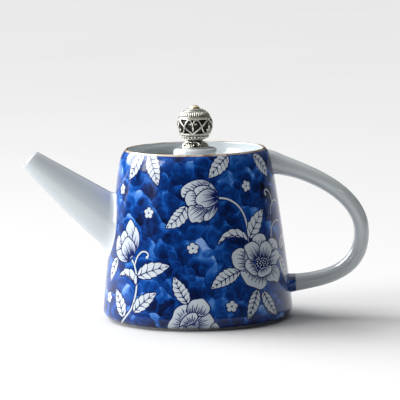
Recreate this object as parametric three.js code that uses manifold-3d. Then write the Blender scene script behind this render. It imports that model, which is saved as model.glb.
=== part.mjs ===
// A porcelain teapot: a tapered pot with a straight spout on one side and a loop handle on the other,
// an inset lid that rests on a ledge below the rim, and a pierced metal knob held by a screw.
//
// Millimetres, +Z up. The origin is on the floor at the centre of the foot ring.
// -X points along the spout and +X along the handle.

import * as THREE from "three";
import { mergeVertices } from "three/addons/utils/BufferGeometryUtils.js";
import Module from "manifold-3d";

const wasm = await Module();
wasm.setup();

// ---- Driving dimensions ----

const REACH = 103.6; // from the pot's axis to the spout's tip, and to the back of the handle

// Pot
const RIM_HEIGHT = 102;
const RIM_RADIUS = 42.5;
const RIM_WALL = 2.2;
const SHOULDER_RADIUS = 46;
const SHOULDER_DROP = 10; // from the rim down to where the shoulder's curve begins
const BASE_RADIUS = 57; // the widest place, just above the foot
const BASE_CORNER = 6.2; // height of the rounded lower edge
const WALL_BELLY = 0.45; // how far the wall bows out at mid height
const WALL = 3.5;
const FLOOR = 3.6;
const SHOULDER_EASE = 0.7; // how far the shoulder's curve leads inwards before it turns over
const RIM_EASE = 0.9; // how far outside the rim that curve ends its turn
const RIM_ROUND = 1.6; // how far below the rim it does
const FOOT_INSET = 5.4; // from the widest radius in to the foot ring's outside
const FOOT_WIDTH = 4;
const FOOT_HEIGHT = 1.2;
const FOOT_RECESS = 2.4; // how far the floor's underside stands off the table

// Lid seat
const LEDGE_DROP = 10; // from the rim down to the ledge that the lid rests on
const LEDGE_WIDTH = 4.8;
const LEDGE_THICKNESS = 3;
const LEDGE_BLEND = 5; // height of the slope under the ledge

// Strainer, a pierced dome set in a round hole in the wall behind the spout
const STRAINER_RADIUS = 11.6;
const STRAINER_THICKNESS = 2.3;
const STRAINER_DOME = 4.6;
const STRAINER_HOLE_RADIUS = 1.2;
const STRAINER_RINGS = [
  { holes: 1, radius: 0 },
  { holes: 6, radius: 4.2 },
  { holes: 12, radius: 8.3 },
];

// Spout
const SPOUT_TIP_DROP = 0.6; // from the rim down to the tip's upper edge
const SPOUT_TIP_RUN = 8.7; // the tip's cut, along X
const SPOUT_TIP_RISE = 9.1; // the tip's cut, along Z
const SPOUT_TIP_HALF_WIDTH = 6.1;
const SPOUT_ROOT_DROP = 27.2; // from the rim down to the root's upper edge
const SPOUT_ROOT_SIDE_MARGIN = 3.4; // from the strainer's edge out to the root's side
const SPOUT_ROOT_END_MARGIN = 5.4; // from the strainer's edge out to the root's top and foot
const SPOUT_BELLY = 1.2; // bow of the lower edge
const SPOUT_FLARE = 2.4; // how far the root spreads over the pot's wall
const SPOUT_WALL = 2.1;

// Handle
const HANDLE_TOP_DROP = 9.3; // from the rim down to the centre of the upper root
const HANDLE_FOOT_HEIGHT = 19.2; // centre of the lower root
const HANDLE_BACK_HEIGHT = 50; // where the loop is furthest out
const HANDLE_HALF_THICKNESS = 4.6;
const HANDLE_HALF_WIDTH = 6.2;
const HANDLE_TOP_DIP = 6.7; // how far the upper pull of the loop's curve falls below the upper root
const HANDLE_FOOT_RISE = 2.3; // how far the lower pull rises above the lower root
const HANDLE_UPPER_PULL = 22; // reach of the curve's pull above the furthest place
const HANDLE_LOWER_PULL = 20; // and below it
const HANDLE_SINK = 3; // how far the loop's line runs into the wall before it is trimmed
const HANDLE_TOP_SWELL = 3.1; // extra half thickness at the upper root
const HANDLE_FOOT_SWELL = 1.5; // extra half thickness at the lower root

// Lid
const LID_CLEARANCE = 0.7; // round the lid's edge in the mouth
const SKIRT_CLEARANCE = 0.6; // round the skirt inside the ledge
const LID_THICKNESS = 3;
const SKIRT_DEPTH = 7;
const SKIRT_WALL = 2.8;
const MOUND_ABOVE_RIM = 0.2;
const MOUND_RADIUS = 13.3;
const MOUND_EDGE = 3.4; // rounding of the mound's upper edge
const MOUND_WALL = 3.8;
const MOUND_BLEND = 3.2;
const VENT_RADIUS = 1.5;
const VENT_OFFSET = 24;

// Knob
const COLLAR_RADIUS = 8.2;
const COLLAR_TOP_RADIUS = 4.7;
const COLLAR_HEIGHT = 3.8;
const COLLAR_WALL = 1;
const COLLAR_WINDOWS = 8;
const COLLAR_WINDOW_RADIUS = 0.9;
const BALL_RADIUS = 10.75;
const BALL_SEAT_RADIUS = 4.2; // flat under the ball, on the collar
const BALL_WALL = 1.2;
const BALL_WINDOWS = 6;
const BALL_WINDOW_RADIUS = 3.6;
const FINIAL_RADIUS = 3.2;
const FINIAL_HEIGHT = 1.9;
const FINIAL_WALL = 0.9; // round the thread, inside the ball
const FINIAL_BARREL = 8; // how far the barrel reaches down into the ball

// Fastening
const SCREW_RADIUS = 1.5;
const SCREW_CLEARANCE = 0.2;
const THREAD_CLEARANCE = 0.05;
const SCREW_END_GAP = 1; // free depth past the screw's end in the finial
const SCREW_HEAD_RADIUS = 2.9;
const SCREW_HEAD_HEIGHT = 2;
const SCREW_SLOT_WIDTH = 0.8;
const SCREW_SLOT_DEPTH = 0.9;
const WASHER_RADIUS = 5;
const WASHER_THICKNESS = 0.8;
const SEAL_RADIUS = 6;
const SEAL_THICKNESS = 1;

const JOINT_GAP = 0.3; // the slip joint between two pieces of porcelain
const BARREL_CLEARANCE = 0.1;

// ---- Heights and radii that follow ----

const shoulderHeight = RIM_HEIGHT - SHOULDER_DROP;
const mouthRadius = RIM_RADIUS - RIM_WALL;
const ledgeHeight = RIM_HEIGHT - LEDGE_DROP;
const ledgeRadius = mouthRadius - LEDGE_WIDTH;
const floorHeight = FOOT_RECESS + FLOOR;
const footRadius = BASE_RADIUS - FOOT_INSET;

const spoutRootHalfWidth = STRAINER_RADIUS + SPOUT_ROOT_SIDE_MARGIN;
const spoutRootSpan = 2 * (STRAINER_RADIUS + SPOUT_ROOT_END_MARGIN);

const lidTop = ledgeHeight + LID_THICKNESS;
const lidRadius = mouthRadius - LID_CLEARANCE;
const skirtRadius = ledgeRadius - SKIRT_CLEARANCE;
const moundTop = RIM_HEIGHT + MOUND_ABOVE_RIM;
const hollowTop = moundTop - MOUND_WALL; // of the hollow under the mound
const screwBore = SCREW_RADIUS + SCREW_CLEARANCE;

const collarTop = moundTop + COLLAR_HEIGHT;
const ballBottom = collarTop;
const ballCentre = ballBottom + Math.sqrt(BALL_RADIUS ** 2 - BALL_SEAT_RADIUS ** 2);
const ballTop = ballCentre + Math.sqrt(BALL_RADIUS ** 2 - FINIAL_RADIUS ** 2);
const threadBore = SCREW_RADIUS + THREAD_CLEARANCE;
const barrelRadius = threadBore + FINIAL_WALL;
const threadTop = ballTop - 0.3;
const headTop = hollowTop - SEAL_THICKNESS - WASHER_THICKNESS;

// ---- Solids ----

// A closed mesh as a solid that can be joined and cut.
function solid(geometry) {
  const bare = geometry.index ? geometry.toNonIndexed() : geometry.clone();
  bare.deleteAttribute("normal");
  bare.deleteAttribute("uv");
  const merged = mergeVertices(bare, 1e-4);
  return new wasm.Manifold(
    new wasm.Mesh({
      numProp: 3,
      vertProperties: merged.attributes.position.array,
      triVerts: new Uint32Array(merged.index.array),
    }),
  );
}

// A solid back as a geometry.
function geometryOf(made) {
  const mesh = made.getMesh();
  const geometry = new THREE.BufferGeometry();
  geometry.setAttribute("position", new THREE.BufferAttribute(mesh.vertProperties, 3));
  geometry.setIndex(new THREE.BufferAttribute(mesh.triVerts, 1));
  return geometry;
}

// Turns a profile of (radius, height) points about Z. It starts and ends on the axis, or closes on itself.
function turned(path, sides, divisions = 4) {
  const points = path.getPoints(divisions);
  if (THREE.ShapeUtils.isClockWise(points)) points.reverse(); // so that the faces look outwards
  return new THREE.LatheGeometry(points, sides).rotateX(Math.PI / 2);
}

// A closed skin over a row of rings with equal numbers of points, capped at both ends.
function loft(rings) {
  const sides = rings[0].length;
  const points = rings.flat();
  const indices = [];
  for (let row = 0; row < rings.length - 1; row += 1) {
    for (let i = 0; i < sides; i += 1) {
      const a = row * sides + i;
      const b = row * sides + ((i + 1) % sides);
      indices.push(a, b, b + sides, a, b + sides, a + sides);
    }
  }
  const last = (rings.length - 1) * sides;
  for (let i = 1; i < sides - 1; i += 1) {
    indices.push(0, i + 1, i);
    indices.push(last, last + i, last + i + 1);
  }
  const geometry = new THREE.BufferGeometry().setFromPoints(points);
  return geometry.setIndex(indices);
}

// A straight round bar along X, centred on the origin.
function barAlongX(radius, length, sides = 12) {
  return new THREE.CylinderGeometry(radius, radius, length, sides).rotateZ(Math.PI / 2);
}

// ---- Pot ----

// Outer radius of the wall at a height between the base and the shoulder.
function wallRadius(height) {
  const t = (height - BASE_CORNER) / (shoulderHeight - BASE_CORNER);
  const straight = BASE_RADIUS + (SHOULDER_RADIUS - BASE_RADIUS) * t;
  return straight + WALL_BELLY * 4 * t * (1 - t);
}

const wallLean = Math.atan2(BASE_RADIUS - SHOULDER_RADIUS, shoulderHeight - BASE_CORNER);

// Draws the outside from the foot ring up to the rim, spread outwards by grow.
function drawOutside(path, grow) {
  const middleHeight = (BASE_CORNER + shoulderHeight) / 2;
  const middleRadius = (BASE_RADIUS + SHOULDER_RADIUS) / 2 + 2 * WALL_BELLY;
  path.lineTo(footRadius + grow, -grow);
  path.lineTo(footRadius + grow, FOOT_HEIGHT - grow);
  path.bezierCurveTo(
    footRadius + 3 * grow + FOOT_INSET * 0.55,
    FOOT_HEIGHT - grow,
    BASE_RADIUS + grow,
    BASE_CORNER * 0.45,
    BASE_RADIUS + grow,
    BASE_CORNER,
  );
  path.quadraticCurveTo(
    middleRadius + grow,
    middleHeight,
    SHOULDER_RADIUS + grow,
    shoulderHeight,
  );
  path.bezierCurveTo(
    SHOULDER_RADIUS - SHOULDER_EASE + grow,
    shoulderHeight + SHOULDER_DROP * 0.5,
    RIM_RADIUS + RIM_EASE + grow,
    RIM_HEIGHT - RIM_ROUND + grow,
    RIM_RADIUS - RIM_WALL * 0.45 + grow * 0.6,
    RIM_HEIGHT + grow,
  );
}

// The whole pot's outside as one filled solid, which trims what is fixed to it.
function filledPot(grow) {
  const path = new THREE.Path().moveTo(0, -grow);
  drawOutside(path, grow);
  path.lineTo(0, RIM_HEIGHT + grow);
  return solid(turned(path, 96, 6));
}

const strainerHeight = RIM_HEIGHT - SPOUT_ROOT_DROP - spoutRootSpan / 2;
const strainerSeat = STRAINER_THICKNESS + 0.1; // the dish's rim, along its axis

// Puts something made along X, facing the spout, into the wall behind the spout.
function intoWall(geometry) {
  const middle = wallRadius(strainerHeight) - WALL / 2;
  return geometry.rotateY(wallLean).translate(-middle, 0, strainerHeight);
}

function potSolid() {
  const path = new THREE.Path().moveTo(0, FOOT_RECESS);
  path.lineTo(footRadius - FOOT_WIDTH - 1, FOOT_RECESS);
  path.lineTo(footRadius - FOOT_WIDTH, 0);
  drawOutside(path, 0);
  path.quadraticCurveTo(mouthRadius, RIM_HEIGHT, mouthRadius, RIM_HEIGHT - RIM_WALL * 0.6);
  path.lineTo(mouthRadius, ledgeHeight);
  path.lineTo(ledgeRadius, ledgeHeight);
  path.lineTo(ledgeRadius, ledgeHeight - LEDGE_THICKNESS);
  const hollowHeight = ledgeHeight - LEDGE_THICKNESS - LEDGE_BLEND;
  path.lineTo(wallRadius(hollowHeight) - WALL, hollowHeight);
  const middle = (hollowHeight + BASE_CORNER) / 2;
  path.lineTo(wallRadius(middle) - WALL, middle);
  const cornerHeight = floorHeight + BASE_CORNER;
  const cornerRadius = wallRadius(cornerHeight) - WALL;
  path.lineTo(cornerRadius, cornerHeight);
  path.quadraticCurveTo(cornerRadius, floorHeight, cornerRadius - BASE_CORNER, floorHeight);
  path.lineTo(0, floorHeight);
  const hole = intoWall(barAlongX(STRAINER_RADIUS + JOINT_GAP, WALL * 4, 32));
  return solid(turned(path, 60)).subtract(solid(hole));
}

function strainerSolid() {
  const rim = STRAINER_RADIUS - STRAINER_THICKNESS * 0.8;
  const path = new THREE.Path().moveTo(0, STRAINER_DOME);
  path.quadraticCurveTo(rim * 0.62, STRAINER_DOME, rim, 0);
  path.lineTo(STRAINER_RADIUS, 0);
  path.lineTo(STRAINER_RADIUS, strainerSeat);
  const crown = STRAINER_DOME + STRAINER_THICKNESS;
  path.quadraticCurveTo(STRAINER_RADIUS * 0.62, crown, 0, crown);
  let dish = solid(turned(path, 28, 5));
  for (const ring of STRAINER_RINGS) {
    for (let i = 0; i < ring.holes; i += 1) {
      const angle = (i / ring.holes) * 2 * Math.PI;
      const drill = new THREE.CylinderGeometry(
        STRAINER_HOLE_RADIUS,
        STRAINER_HOLE_RADIUS,
        4 * crown,
        8,
      );
      drill.rotateX(Math.PI / 2);
      drill.translate(ring.radius * Math.cos(angle), ring.radius * Math.sin(angle), 0);
      dish = dish.subtract(solid(drill));
    }
  }
  const placed = geometryOf(dish).rotateY(Math.PI / 2).translate(-strainerSeat / 2, 0, 0);
  return solid(intoWall(placed));
}

// ---- Spout ----

const SPOUT_SIDES = 24;
const SPOUT_FLARE_START = 0.86; // share of the spout's length where the root starts to spread

// An oval round the spout at a share of its length, 0 at the tip and 1 at the pot's wall.
function spoutRing(share, inset) {
  const tipTop = RIM_HEIGHT - SPOUT_TIP_DROP;
  const rootTop = RIM_HEIGHT - SPOUT_ROOT_DROP;
  const rootFoot = rootTop - spoutRootSpan;
  const upperTip = new THREE.Vector3(-REACH + SPOUT_TIP_RUN, 0, tipTop);
  const lowerTip = new THREE.Vector3(-REACH, 0, tipTop - SPOUT_TIP_RISE);
  const upper = upperTip.lerp(new THREE.Vector3(-wallRadius(rootTop), 0, rootTop), share);
  const lower = lowerTip.lerp(new THREE.Vector3(-wallRadius(rootFoot), 0, rootFoot), share);
  const bow = SPOUT_BELLY * 4 * share * (1 - share) * Math.SQRT1_2;
  lower.add(new THREE.Vector3(-bow, 0, -bow));
  const spread = Math.max(0, (share - SPOUT_FLARE_START) / (1 - SPOUT_FLARE_START));
  const flare = SPOUT_FLARE * spread ** 2;
  const centre = upper.clone().lerp(lower, 0.5);
  const up = upper.clone().sub(lower);
  const halfHeight = up.length() / 2 + flare - inset;
  const tipToRoot = spoutRootHalfWidth - SPOUT_TIP_HALF_WIDTH;
  const halfWidth = SPOUT_TIP_HALF_WIDTH + tipToRoot * share + flare - inset;
  up.normalize();
  const ring = [];
  for (let i = 0; i < SPOUT_SIDES; i += 1) {
    const angle = (i / SPOUT_SIDES) * 2 * Math.PI;
    const point = centre.clone().addScaledVector(up, halfHeight * Math.cos(angle));
    point.y = -halfWidth * Math.sin(angle);
    ring.push(point);
  }
  return ring;
}

function spoutSolid() {
  const outer = [0, 0.2, 0.4, 0.6, 0.78, 0.86, 0.92, 0.97, 1.04, 1.12];
  const inner = [-0.05, 0.2, 0.4, 0.6, 0.8, 0.92, 1.04, 1.2];
  // The bore keeps the straight taper, so the root's flare is all wall.
  const bore = inner.map((share) => {
    const spread = Math.max(0, (share - SPOUT_FLARE_START) / (1 - SPOUT_FLARE_START));
    return spoutRing(share, SPOUT_WALL + SPOUT_FLARE * spread ** 2);
  });
  const body = solid(loft(outer.map((share) => spoutRing(share, 0))));
  return body.subtract(solid(loft(bore))).subtract(filledPot(JOINT_GAP));
}

// ---- Handle ----

const HANDLE_SIDES = 16;
const HANDLE_STEPS = 30;

function handleLine() {
  const back = REACH - HANDLE_HALF_THICKNESS;
  const top = RIM_HEIGHT - HANDLE_TOP_DROP;
  const topRoot = SHOULDER_RADIUS - HANDLE_SINK;
  const foot = HANDLE_FOOT_HEIGHT;
  const footRoot = wallRadius(foot) - HANDLE_SINK;
  const upper = new THREE.CubicBezierCurve3(
    new THREE.Vector3(topRoot, 0, top),
    new THREE.Vector3(topRoot + (back - topRoot) * 0.5, 0, top - HANDLE_TOP_DIP),
    new THREE.Vector3(back, 0, HANDLE_BACK_HEIGHT + HANDLE_UPPER_PULL),
    new THREE.Vector3(back, 0, HANDLE_BACK_HEIGHT),
  );
  const lower = new THREE.CubicBezierCurve3(
    new THREE.Vector3(back, 0, HANDLE_BACK_HEIGHT),
    new THREE.Vector3(back, 0, HANDLE_BACK_HEIGHT - HANDLE_LOWER_PULL),
    new THREE.Vector3(footRoot + (back - footRoot) * 0.7, 0, foot + HANDLE_FOOT_RISE),
    new THREE.Vector3(footRoot, 0, foot),
  );
  const line = new THREE.CurvePath();
  line.add(upper);
  line.add(lower);
  return line;
}

function handleSolid() {
  const line = handleLine();
  const rings = [];
  for (let step = 0; step <= HANDLE_STEPS; step += 1) {
    const share = step / HANDLE_STEPS;
    const centre = line.getPointAt(share);
    const ahead = line.getPointAt(Math.min(1, share + 0.005));
    const behind = line.getPointAt(Math.max(0, share - 0.005));
    const along = ahead.sub(behind).normalize();
    const across = new THREE.Vector3(-along.z, 0, along.x);
    const topSwell = HANDLE_TOP_SWELL * Math.exp(-share / 0.08);
    const footSwell = HANDLE_FOOT_SWELL * Math.exp(-(1 - share) / 0.05);
    const halfThickness = HANDLE_HALF_THICKNESS + topSwell + footSwell;
    const halfWidth = HANDLE_HALF_WIDTH + 0.5 * (topSwell + footSwell);
    const ring = [];
    for (let i = 0; i < HANDLE_SIDES; i += 1) {
      const angle = (i / HANDLE_SIDES) * 2 * Math.PI;
      const point = centre.clone().addScaledVector(across, halfThickness * Math.cos(angle));
      point.y = -halfWidth * Math.sin(angle);
      ring.push(point);
    }
    rings.push(ring);
  }
  return solid(loft(rings)).subtract(filledPot(JOINT_GAP));
}

// ---- Lid ----

function lidSolid() {
  const moundFlat = Math.max(MOUND_RADIUS - MOUND_EDGE, COLLAR_RADIUS + 0.4);
  const hollow = Math.max(MOUND_RADIUS - MOUND_WALL, SEAL_RADIUS + 1);
  const path = new THREE.Path().moveTo(screwBore, moundTop);
  path.lineTo(moundFlat, moundTop);
  path.quadraticCurveTo(MOUND_RADIUS - 0.4, moundTop, MOUND_RADIUS, moundTop - MOUND_EDGE);
  path.quadraticCurveTo(MOUND_RADIUS + 0.3, lidTop, MOUND_RADIUS + MOUND_BLEND, lidTop);
  path.lineTo(lidRadius - LID_THICKNESS * 0.4, lidTop);
  path.quadraticCurveTo(lidRadius, lidTop, lidRadius, lidTop - LID_THICKNESS * 0.4);
  path.lineTo(lidRadius, ledgeHeight);
  path.lineTo(skirtRadius, ledgeHeight);
  path.lineTo(skirtRadius, ledgeHeight - SKIRT_DEPTH);
  path.lineTo(skirtRadius - SKIRT_WALL, ledgeHeight - SKIRT_DEPTH);
  path.lineTo(skirtRadius - SKIRT_WALL, ledgeHeight);
  path.lineTo(hollow, ledgeHeight);
  path.lineTo(hollow, hollowTop);
  path.lineTo(screwBore, hollowTop);
  path.lineTo(screwBore, moundTop);
  const vent = new THREE.CylinderGeometry(VENT_RADIUS, VENT_RADIUS, 4 * LID_THICKNESS, 12);
  vent.rotateX(Math.PI / 2).translate(VENT_OFFSET, 0, lidTop);
  return solid(turned(path, 48, 4)).subtract(solid(vent));
}

// ---- Knob ----

// Cuts a row of round windows through a shell, each along its own radius from start outwards.
function pierced(shell, windows) {
  let made = shell;
  for (let i = 0; i < windows.count; i += 1) {
    const drill = barAlongX(windows.radius, windows.depth, 12);
    drill.translate(windows.start + windows.depth / 2, 0, windows.height);
    made = made.subtract(solid(drill.rotateZ((i / windows.count) * 2 * Math.PI)));
  }
  return made;
}

function collarSolid() {
  const path = new THREE.Path().moveTo(screwBore, collarTop);
  path.lineTo(COLLAR_TOP_RADIUS, collarTop);
  path.quadraticCurveTo(COLLAR_RADIUS - 0.3, collarTop - 0.6, COLLAR_RADIUS, moundTop);
  path.lineTo(COLLAR_RADIUS - COLLAR_WALL, moundTop);
  path.quadraticCurveTo(
    COLLAR_RADIUS - 0.3 - COLLAR_WALL,
    collarTop - 0.6 - COLLAR_WALL,
    COLLAR_TOP_RADIUS - COLLAR_WALL,
    collarTop - COLLAR_WALL,
  );
  path.lineTo(screwBore, collarTop - COLLAR_WALL);
  path.lineTo(screwBore, collarTop);
  return pierced(solid(turned(path, 24)), {
    count: COLLAR_WINDOWS,
    radius: COLLAR_WINDOW_RADIUS,
    height: moundTop + (COLLAR_HEIGHT - COLLAR_WALL) / 2,
    start: COLLAR_TOP_RADIUS - COLLAR_WALL,
    depth: COLLAR_RADIUS,
  });
}

function ballSolid() {
  const barrelHole = barrelRadius + BARREL_CLEARANCE;
  const innerRadius = BALL_RADIUS - BALL_WALL;
  const angleAt = (height, radius) => Math.asin((height - ballCentre) / radius);
  const path = new THREE.Path().moveTo(barrelHole, ballTop);
  path.lineTo(FINIAL_RADIUS, ballTop);
  const outerTop = angleAt(ballTop, BALL_RADIUS);
  const outerFoot = angleAt(ballBottom, BALL_RADIUS);
  path.absarc(0, ballCentre, BALL_RADIUS, outerTop, outerFoot, true);
  path.lineTo(screwBore, ballBottom);
  path.lineTo(screwBore, ballBottom + BALL_WALL);
  const innerFoot = angleAt(ballBottom + BALL_WALL, innerRadius);
  const innerTop = angleAt(ballTop - BALL_WALL, innerRadius);
  path.absarc(0, ballCentre, innerRadius, innerFoot, innerTop, false);
  path.lineTo(barrelHole, ballTop - BALL_WALL);
  path.lineTo(barrelHole, ballTop);
  return pierced(solid(turned(path, 24, 6)), {
    count: BALL_WINDOWS,
    radius: BALL_WINDOW_RADIUS,
    height: ballCentre,
    start: barrelHole,
    depth: BALL_RADIUS,
  });
}

function finialSolid() {
  const path = new THREE.Path().moveTo(0, ballTop + FINIAL_HEIGHT);
  path.quadraticCurveTo(FINIAL_RADIUS, ballTop + FINIAL_HEIGHT, FINIAL_RADIUS, ballTop);
  path.lineTo(barrelRadius, ballTop);
  path.lineTo(barrelRadius, ballTop - FINIAL_BARREL);
  path.lineTo(threadBore, ballTop - FINIAL_BARREL);
  path.lineTo(threadBore, threadTop);
  path.lineTo(0, threadTop);
  return solid(turned(path, 20));
}

function screwSolid() {
  const headFoot = headTop - SCREW_HEAD_HEIGHT;
  const path = new THREE.Path().moveTo(0, headFoot);
  path.lineTo(SCREW_HEAD_RADIUS * 0.6, headFoot);
  path.quadraticCurveTo(SCREW_HEAD_RADIUS, headFoot, SCREW_HEAD_RADIUS, headTop - 0.8);
  path.lineTo(SCREW_HEAD_RADIUS, headTop);
  path.lineTo(SCREW_RADIUS, headTop);
  path.lineTo(SCREW_RADIUS, threadTop - SCREW_END_GAP);
  path.lineTo(0, threadTop - SCREW_END_GAP);
  const slot = new THREE.BoxGeometry(
    3 * SCREW_HEAD_RADIUS,
    SCREW_SLOT_WIDTH,
    2 * SCREW_SLOT_DEPTH,
  );
  slot.translate(0, 0, headFoot);
  return solid(turned(path, 20)).subtract(solid(slot));
}

// A flat ring round the screw with its top face at a height.
function ringSolid(radius, thickness, top) {
  const path = new THREE.Path().moveTo(screwBore, top);
  path.lineTo(radius, top);
  path.lineTo(radius, top - thickness);
  path.lineTo(screwBore, top - thickness);
  path.lineTo(screwBore, top);
  return solid(turned(path, 24));
}

// ---- Assembly ----

const cobaltPorcelain = new THREE.MeshStandardMaterial({ color: 0x1d3f8f, roughness: 0.12 });
const whitePorcelain = new THREE.MeshStandardMaterial({ color: 0xe4e7e8, roughness: 0.12 });
const silver = new THREE.MeshStandardMaterial({ color: 0xb9b5a8, roughness: 0.3, metalness: 1 });
const steel = new THREE.MeshStandardMaterial({ color: 0xc2c4c6, roughness: 0.25, metalness: 1 });
const silicone = new THREE.MeshStandardMaterial({ color: 0xd8d9d6, roughness: 0.7 });

function piece(name, made, material) {
  const mesh = new THREE.Mesh(geometryOf(made), material);
  mesh.name = name;
  return mesh;
}

const pot = new THREE.Group();
pot.add(piece("pot_body", potSolid(), cobaltPorcelain));
pot.add(piece("spout", spoutSolid(), whitePorcelain));
pot.add(piece("strainer", strainerSolid(), whitePorcelain));
pot.add(piece("handle", handleSolid(), whitePorcelain));

const lid = new THREE.Group();
lid.add(piece("lid", lidSolid(), whitePorcelain));

const knob = new THREE.Group();
knob.add(piece("knob_collar", collarSolid(), silver));
knob.add(piece("knob_ball", ballSolid(), silver));
knob.add(piece("knob_finial", finialSolid(), silver));
knob.add(piece("knob_screw", screwSolid(), steel));
knob.add(piece("knob_washer", ringSolid(WASHER_RADIUS, WASHER_THICKNESS, hollowTop - SEAL_THICKNESS), steel));
knob.add(piece("knob_seal", ringSolid(SEAL_RADIUS, SEAL_THICKNESS, hollowTop), silicone));
lid.add(knob);

const teapot = new THREE.Group();
teapot.add(pot);
teapot.add(lid);

export default teapot;
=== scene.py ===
# A blue-and-white porcelain teapot: a tapered pot painted with peonies on a brushed cobalt ground, a plain
# white spout and handle, an inset white lid, and a pierced silver ball knob.
from math import asin, atan2, cos, degrees, hypot, pi, radians, sin, sqrt, tau

import bmesh
import bpy
from mathutils import Matrix, Vector
from mathutils.geometry import delaunay_2d_cdt, interpolate_bezier


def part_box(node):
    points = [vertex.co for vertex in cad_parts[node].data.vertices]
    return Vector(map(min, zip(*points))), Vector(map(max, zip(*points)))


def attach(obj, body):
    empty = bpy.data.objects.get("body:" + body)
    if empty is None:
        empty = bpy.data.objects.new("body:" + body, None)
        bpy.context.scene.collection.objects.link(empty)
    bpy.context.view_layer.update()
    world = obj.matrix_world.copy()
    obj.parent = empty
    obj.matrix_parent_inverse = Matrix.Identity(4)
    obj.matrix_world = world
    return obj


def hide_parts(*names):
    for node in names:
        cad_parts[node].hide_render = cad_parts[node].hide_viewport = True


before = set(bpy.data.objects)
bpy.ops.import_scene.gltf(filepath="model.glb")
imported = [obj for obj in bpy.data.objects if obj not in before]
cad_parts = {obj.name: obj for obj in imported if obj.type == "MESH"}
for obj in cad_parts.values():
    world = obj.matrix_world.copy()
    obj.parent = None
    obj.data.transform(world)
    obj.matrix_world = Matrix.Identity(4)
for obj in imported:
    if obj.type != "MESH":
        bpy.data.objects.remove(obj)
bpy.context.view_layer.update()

MM = 0.001

# ---- Camera and studio -------------------------------------------------------------------------------------
# The pot stands on a pale table, seen from a little above the rim with the spout on the left. A large window
# behind it on the left gives most of the light, and the room on the right stays dark.

EYE = Vector((0, -1.4879, 0.2501))
AIM = Vector((0.0023, 0, 0.0705))
LEAN = radians(-0.95)  # the camera is held a little off level
scene = bpy.context.scene
scene.view_settings.view_transform = "Standard"


def add_object(name, data):
    """A new object in the scene."""
    made = bpy.data.objects.new(name, data)
    scene.collection.objects.link(made)
    return made


view = bpy.data.cameras.new("view")
view.lens = 225
view.clip_end = 50
scene.camera = add_object("camera", view)
scene.camera.matrix_world = (
    Matrix.Translation(EYE)
    @ (AIM - EYE).to_track_quat("-Z", "Y").to_matrix().to_4x4()
    @ Matrix.Rotation(LEAN, 4, "Z")
)


class Wire:
    """A value that runs through a node tree. Arithmetic on it adds Math nodes."""

    def __init__(self, bench, socket):
        self.bench = bench
        self.socket = socket

    def maths(self, operation, *values):
        sockets = dict(enumerate(values))
        return self.bench.node("ShaderNodeMath", {"operation": operation}, sockets)["Value"]

    def __add__(self, other):
        return self.maths("ADD", self, other)

    def __radd__(self, other):
        return self.maths("ADD", other, self)

    def __sub__(self, other):
        return self.maths("SUBTRACT", self, other)

    def __rsub__(self, other):
        return self.maths("SUBTRACT", other, self)

    def __mul__(self, other):
        return self.maths("MULTIPLY", self, other)

    def __rmul__(self, other):
        return self.maths("MULTIPLY", other, self)

    def __truediv__(self, other):
        return self.maths("DIVIDE", self, other)

    def __pow__(self, other):
        return self.maths("POWER", self, other)

    def clamped(self):
        return self.maths("MINIMUM", self.maths("MAXIMUM", self, 0.0), 1.0)


class Bench:
    """A node tree being built."""

    def __init__(self, tree):
        self.tree = tree

    def node(self, kind, settings=None, sockets=None):
        """Adds a node: its settings first, then the value or link of each socket named or numbered."""
        made = self.tree.nodes.new(kind)
        for name, value in (settings or {}).items():
            if name == "stops":
                ramp = made.color_ramp
                while len(ramp.elements) < len(value):
                    ramp.elements.new(1.0)
                for element, (place, colour) in zip(ramp.elements, value):
                    element.position = place
                    element.color = (*colour, 1.0)
            else:
                setattr(made, name, value)
        for name, value in (sockets or {}).items():
            open_sockets = [s for s in made.inputs if s.enabled]
            if isinstance(name, int):
                socket = open_sockets[name]
            else:
                socket = next(s for s in open_sockets if s.name == name)
            if isinstance(value, Wire):
                self.tree.links.new(value.socket, socket)
            else:
                socket.default_value = value
        return {s.name: Wire(self, s) for s in made.outputs if s.enabled}

    def mixed(self, share, first, second):
        """One colour blending into another."""
        sockets = {"Factor": share, "A": first, "B": second}
        return self.node("ShaderNodeMix", {"data_type": "RGBA"}, sockets)["Result"]

    def place(self):
        """Where a point of the surface is, in the pot's own frame."""
        return self.node("ShaderNodeTexCoord")["Object"]

    def cloud(self, place, scale, detail):
        """Soft uneven patches: the scale is how many there are to the metre."""
        sockets = {"Vector": place, "Scale": float(scale), "Detail": float(detail)}
        return self.node("ShaderNodeTexNoise", {}, sockets)["Fac"]

    def split(self, vector):
        """A vector's X, Y and Z."""
        return self.node("ShaderNodeSeparateXYZ", {}, {"Vector": vector})


def shader(name):
    """A new material and the bench that its nodes are built on."""
    material = bpy.data.materials.new(name)
    material.use_nodes = True
    material.node_tree.nodes.clear()
    return material, Bench(material.node_tree)


def surfaced(bench, **sockets):
    """Ends a material in a Principled shader."""
    named = {name.replace("_", " "): value for name, value in sockets.items()}
    principled = bench.node("ShaderNodeBsdfPrincipled", {}, named)
    bench.node("ShaderNodeOutputMaterial", {}, {"Surface": principled["BSDF"]})


def table_material():
    """Matt, pale and faintly uneven."""
    material, bench = shader("pale_table")
    cloud = bench.cloud(bench.place(), 3, 4)
    tone = bench.mixed(cloud, (0.55, 0.55, 0.55, 1), (0.58, 0.58, 0.58, 1))
    surfaced(bench, Base_Color=tone, Roughness=0.9)
    return material


def circle(radius, height, sides, x=0.0, y=0.0):
    """Points round an upright axis, anticlockwise from above."""
    turns = [tau * i / sides for i in range(sides)]
    return [(x + radius * cos(turn), y + radius * sin(turn), height) for turn in turns]


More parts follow.
